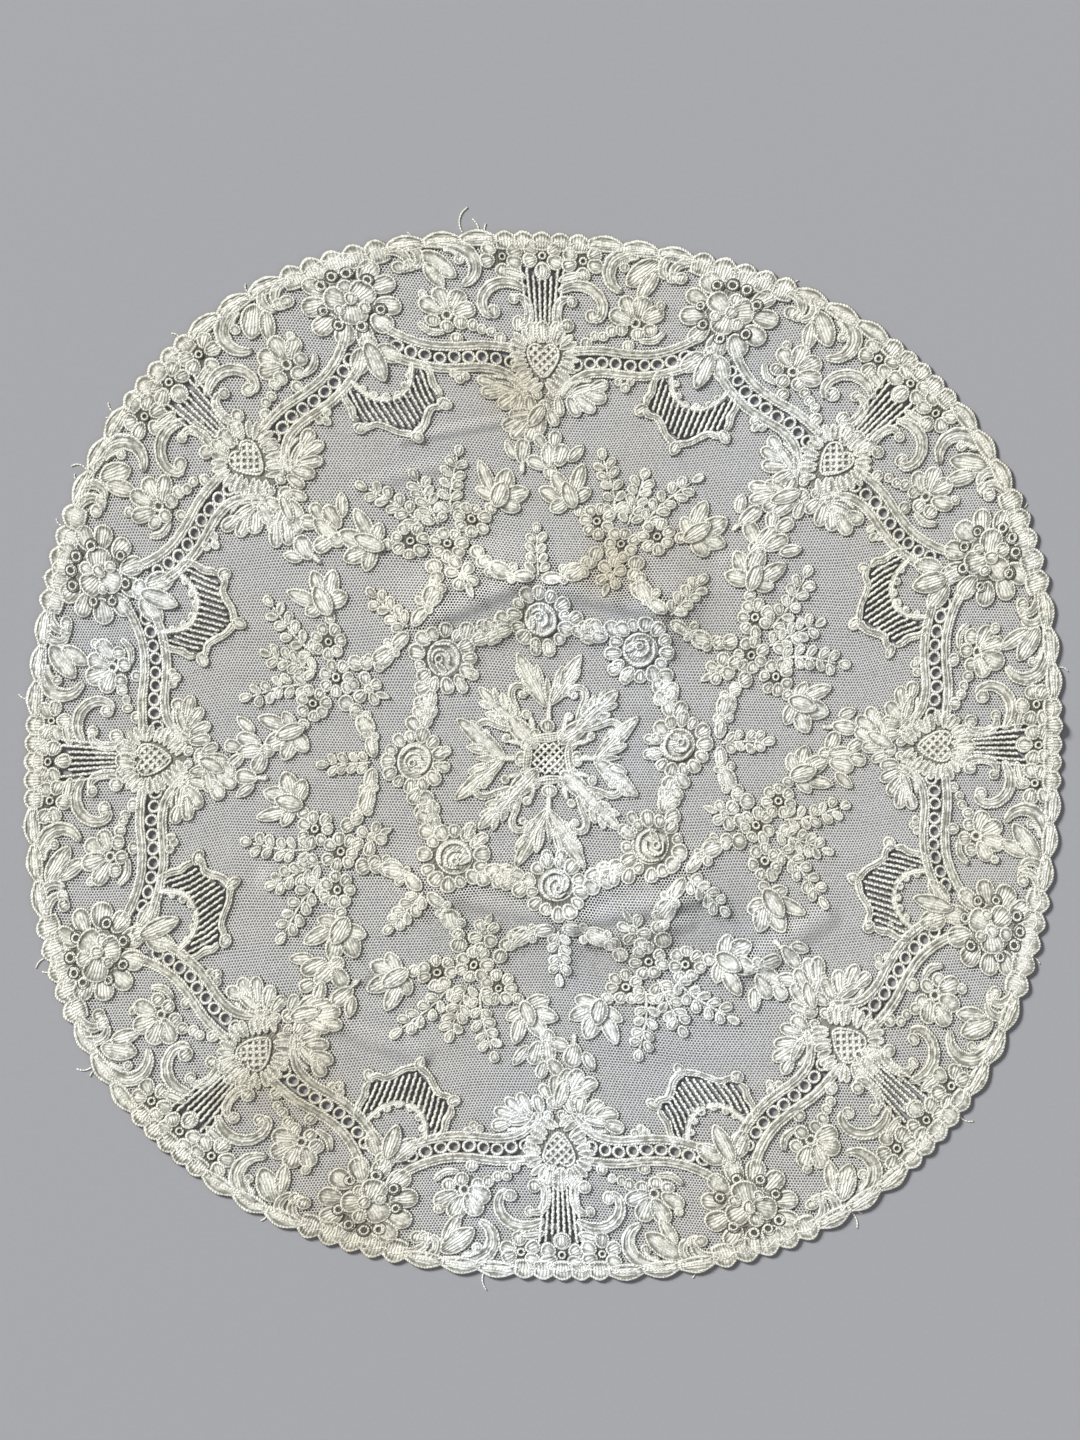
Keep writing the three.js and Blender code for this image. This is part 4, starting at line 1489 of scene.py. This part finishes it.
def honeycomb(pitch):
    """Hexagon middles in level rows that cover the mat, and which rows are set half a mesh along."""
    rows = int(NET_RADIUS / (pitch * math.sqrt(0.75))) + 1
    columns = int(NET_RADIUS / pitch) + 1
    row, column = np.meshgrid(np.arange(-rows, rows + 1), np.arange(-columns, columns + 1), indexing="ij")
    middles = np.stack([(column + 0.5 * (row % 2)) * pitch, row * math.sqrt(0.75) * pitch], axis=-1)
    return middles, row % 2


def opened(places):
    """Which flat places lie where the net is cut away, behind stripes, beads, hearts and the star."""
    line, _ = smooth_route(BEAD_ROUTE, OPENING_STEP)
    side = BEAD_OPENING * sides_of(line)
    beads = np.vstack([line + side, (line - side)[::-1]])
    outlines = (np.array(VASE_OPENING), shield_outline(), beads, beads * (-1, 1))
    canopy = np.array(CANOPY_OPENING)
    found = inside(places, STAR_CORNERS + STAR_MIDDLE)
    for turn in repeats():
        for outline in outlines:
            found |= inside(turned(places, -turn), outline)
        found |= inside(turned(places, -turn - CORNER_TURN), canopy)
    return found


def net_threads(under):
    """The net's joints, and the pairs of them that show a thread beside the stitching.

    Each hexagon brings the joint at its top and the one at its foot. From a top joint one thread runs
    straight up and two run down to either side.
    """
    middles, odd = honeycomb(MESH_PITCH)
    rows, columns = odd.shape
    side = MESH_PITCH / math.sqrt(3)
    drift = NET_DRIFT * np.sin(middles[..., ::-1] / NET_DRIFT_LENGTH + NET_DRIFT_START)
    drift = drift + NET_RIPPLE * np.sin(middles / NET_RIPPLE_LENGTH)
    flat = (middles + drift).reshape(-1, 2)
    tops = flat + (0, side) + NET_UNEVEN * rng.normal(size=flat.shape)
    feet = flat - (0, side) + NET_UNEVEN * rng.normal(size=flat.shape)
    joints = np.vstack([tops, feet])
    row, column = np.indices(odd.shape)
    pairs = []
    for up, across in ((2, 0 * odd), (1, odd - 1), (1, odd)):
        fits = (row + up < rows) & (column + across >= 0) & (column + across < columns)
        top = row * columns + column
        foot = rows * columns + (row + up) * columns + column + across
        pairs.append(np.column_stack([top[fits], foot[fits], np.full(fits.sum(), len(pairs))]))
    pairs = np.vstack(pairs)
    kept = np.hypot(*joints.T) < NET_RADIUS
    pairs = pairs[kept[pairs[:, 0]] & kept[pairs[:, 1]]]
    hidden = np.zeros(len(joints), bool)
    hidden[kept] = under(joints[kept]) | opened(joints[kept])
    both = hidden[pairs[:, 0]] & hidden[pairs[:, 1]]
    middle = (joints[pairs[both, 0]] + joints[pairs[both, 1]]) / 2
    both[both] = under(middle) | opened(middle)
    return joints, pairs[~both]


def net_mesh(joints, pairs):
    """Threads as narrow ribbons that meet in a small triangle at each joint."""
    count = len(joints)
    used = np.unique(pairs[:, :2])
    place = np.full(count, -1)
    place[used] = np.arange(len(used)) * 3
    turns = np.where(used[:, None] < count // 2, [[30, 150, 270]], [[90, 210, 330]])
    corner = np.stack([np.cos(np.radians(turns)), np.sin(np.radians(turns))], axis=-1)
    flat = joints[used][:, None] + corner * (NET_THREAD / math.sqrt(3))
    wave = np.where(used < count // 2, NET_WAVE, -NET_WAVE)
    points = np.concatenate([flat, np.broadcast_to(wave[:, None, None], (len(used), 3, 1))], axis=-1)
    sides = (
        ((0, 0), (1, 2), (1, 1), (0, 1)),
        ((0, 1), (1, 0), (1, 2), (0, 2)),
        ((0, 2), (1, 1), (1, 0), (0, 0)),
    )
    faces = [tuple(range(3 * i, 3 * i + 3)) for i in range(len(used))]
    for kind, corners in enumerate(sides):
        chosen = pairs[pairs[:, 2] == kind]
        quads = np.column_stack([place[chosen[:, end]] + k for end, k in corners])
        faces += list(map(tuple, quads.tolist()))
    return points.reshape(-1, 3), faces


def darned_ground(under, half):
    """The close stitched ground that carries the embroidery from below, on one half of the mat."""
    middles, _ = honeycomb(DARNED_PITCH)
    flat = middles.reshape(-1, 2)
    flat = flat[(np.hypot(*flat.T) < NET_RADIUS - DARNED_MARGIN) & (flat[:, 0] * half > 0)]
    corners = polar(1, np.radians(np.arange(30, 390, 60))) * DARNED_PITCH / math.sqrt(3)
    places = flat[:, None] + corners
    covered = under(places.reshape(-1, 2)).reshape(-1, 6).all(axis=1)
    covered[covered] = under(flat[covered])
    keys = np.round(places[covered].reshape(-1, 2), 3)
    unique, index = np.unique(keys, axis=0, return_inverse=True)
    points = np.column_stack([unique, np.full(len(unique), -DARNED_DROP)])
    return points, list(map(tuple, index.reshape(-1, 6).tolist()))


def net_halves(works, material):
    """The net in a left and a right half, with the darned ground of each."""
    under = stitched_over(works)
    joints, pairs = net_threads(under)
    halves = []
    for name, half in (("net_left", -1), ("net_right", 1)):
        chosen = pairs[(joints[pairs[:, 0], 0] < 0) == (half < 0)]
        points, faces = net_mesh(joints, chosen)
        ground, cells = darned_ground(under, half)
        faces += [tuple(i + len(points) for i in cell) for cell in cells]
        piece, _ = mesh_piece(name, laid(np.vstack([points, ground])), faces, material)
        halves.append(piece)
    return halves


def studio():
    """A pale floor, a soft key light from the upper left and a weak fill."""
    bpy.ops.mesh.primitive_plane_add(size=FLOOR_SIZE)
    floor = bpy.context.object
    floor.name = "floor"
    floor.data.materials.append(floor_paint())
    for row in LAMPS:
        lamp = bpy.data.lights.new(row.name, "SUN")
        lamp.angle = math.radians(row.softness)
        lamp.energy = row.power
        light = bpy.data.objects.new(row.name, lamp)
        light.location = row.place
        light.rotation_euler = (-Vector(row.place)).to_track_quat("-Z", "Y").to_euler()
        bpy.context.scene.collection.objects.link(light)
    world = bpy.data.worlds.new("studio")
    world.use_nodes = True
    sky = world.node_tree.nodes["Background"]
    sky.inputs[0].default_value = SKY_COLOUR
    sky.inputs[1].default_value = SKY_STRENGTH
    bpy.context.scene.world = world
    bpy.context.scene.view_settings.view_transform = "Standard"


def camera():
    """Straight down over the mat, as in the photograph."""
    lens = bpy.data.cameras.new("camera")
    lens.sensor_width = SENSOR
    lens.lens = SENSOR * CAMERA_HEIGHT / FRAME_HEIGHT
    eye = bpy.data.objects.new("camera", lens)
    eye.location = (*CAMERA_PLACE, CAMERA_HEIGHT)
    bpy.context.scene.collection.objects.link(eye)
    bpy.context.scene.camera = eye


works = [scalloped_edge(), vases(), hearts(), bead_bands(), border_leaves(), big_flowers(), canopies(),
         sprays(), roses(), centre_star()]
cotton = corded_thread()
nets = net_halves(works, net_thread())
works.append(frayed_threads())
stitching = [finished(work, cotton) for work in works]
for piece in nets + stitching:
    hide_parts("lace_mat")
for piece in nets:
    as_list(stitching[:1])
studio()
camera()
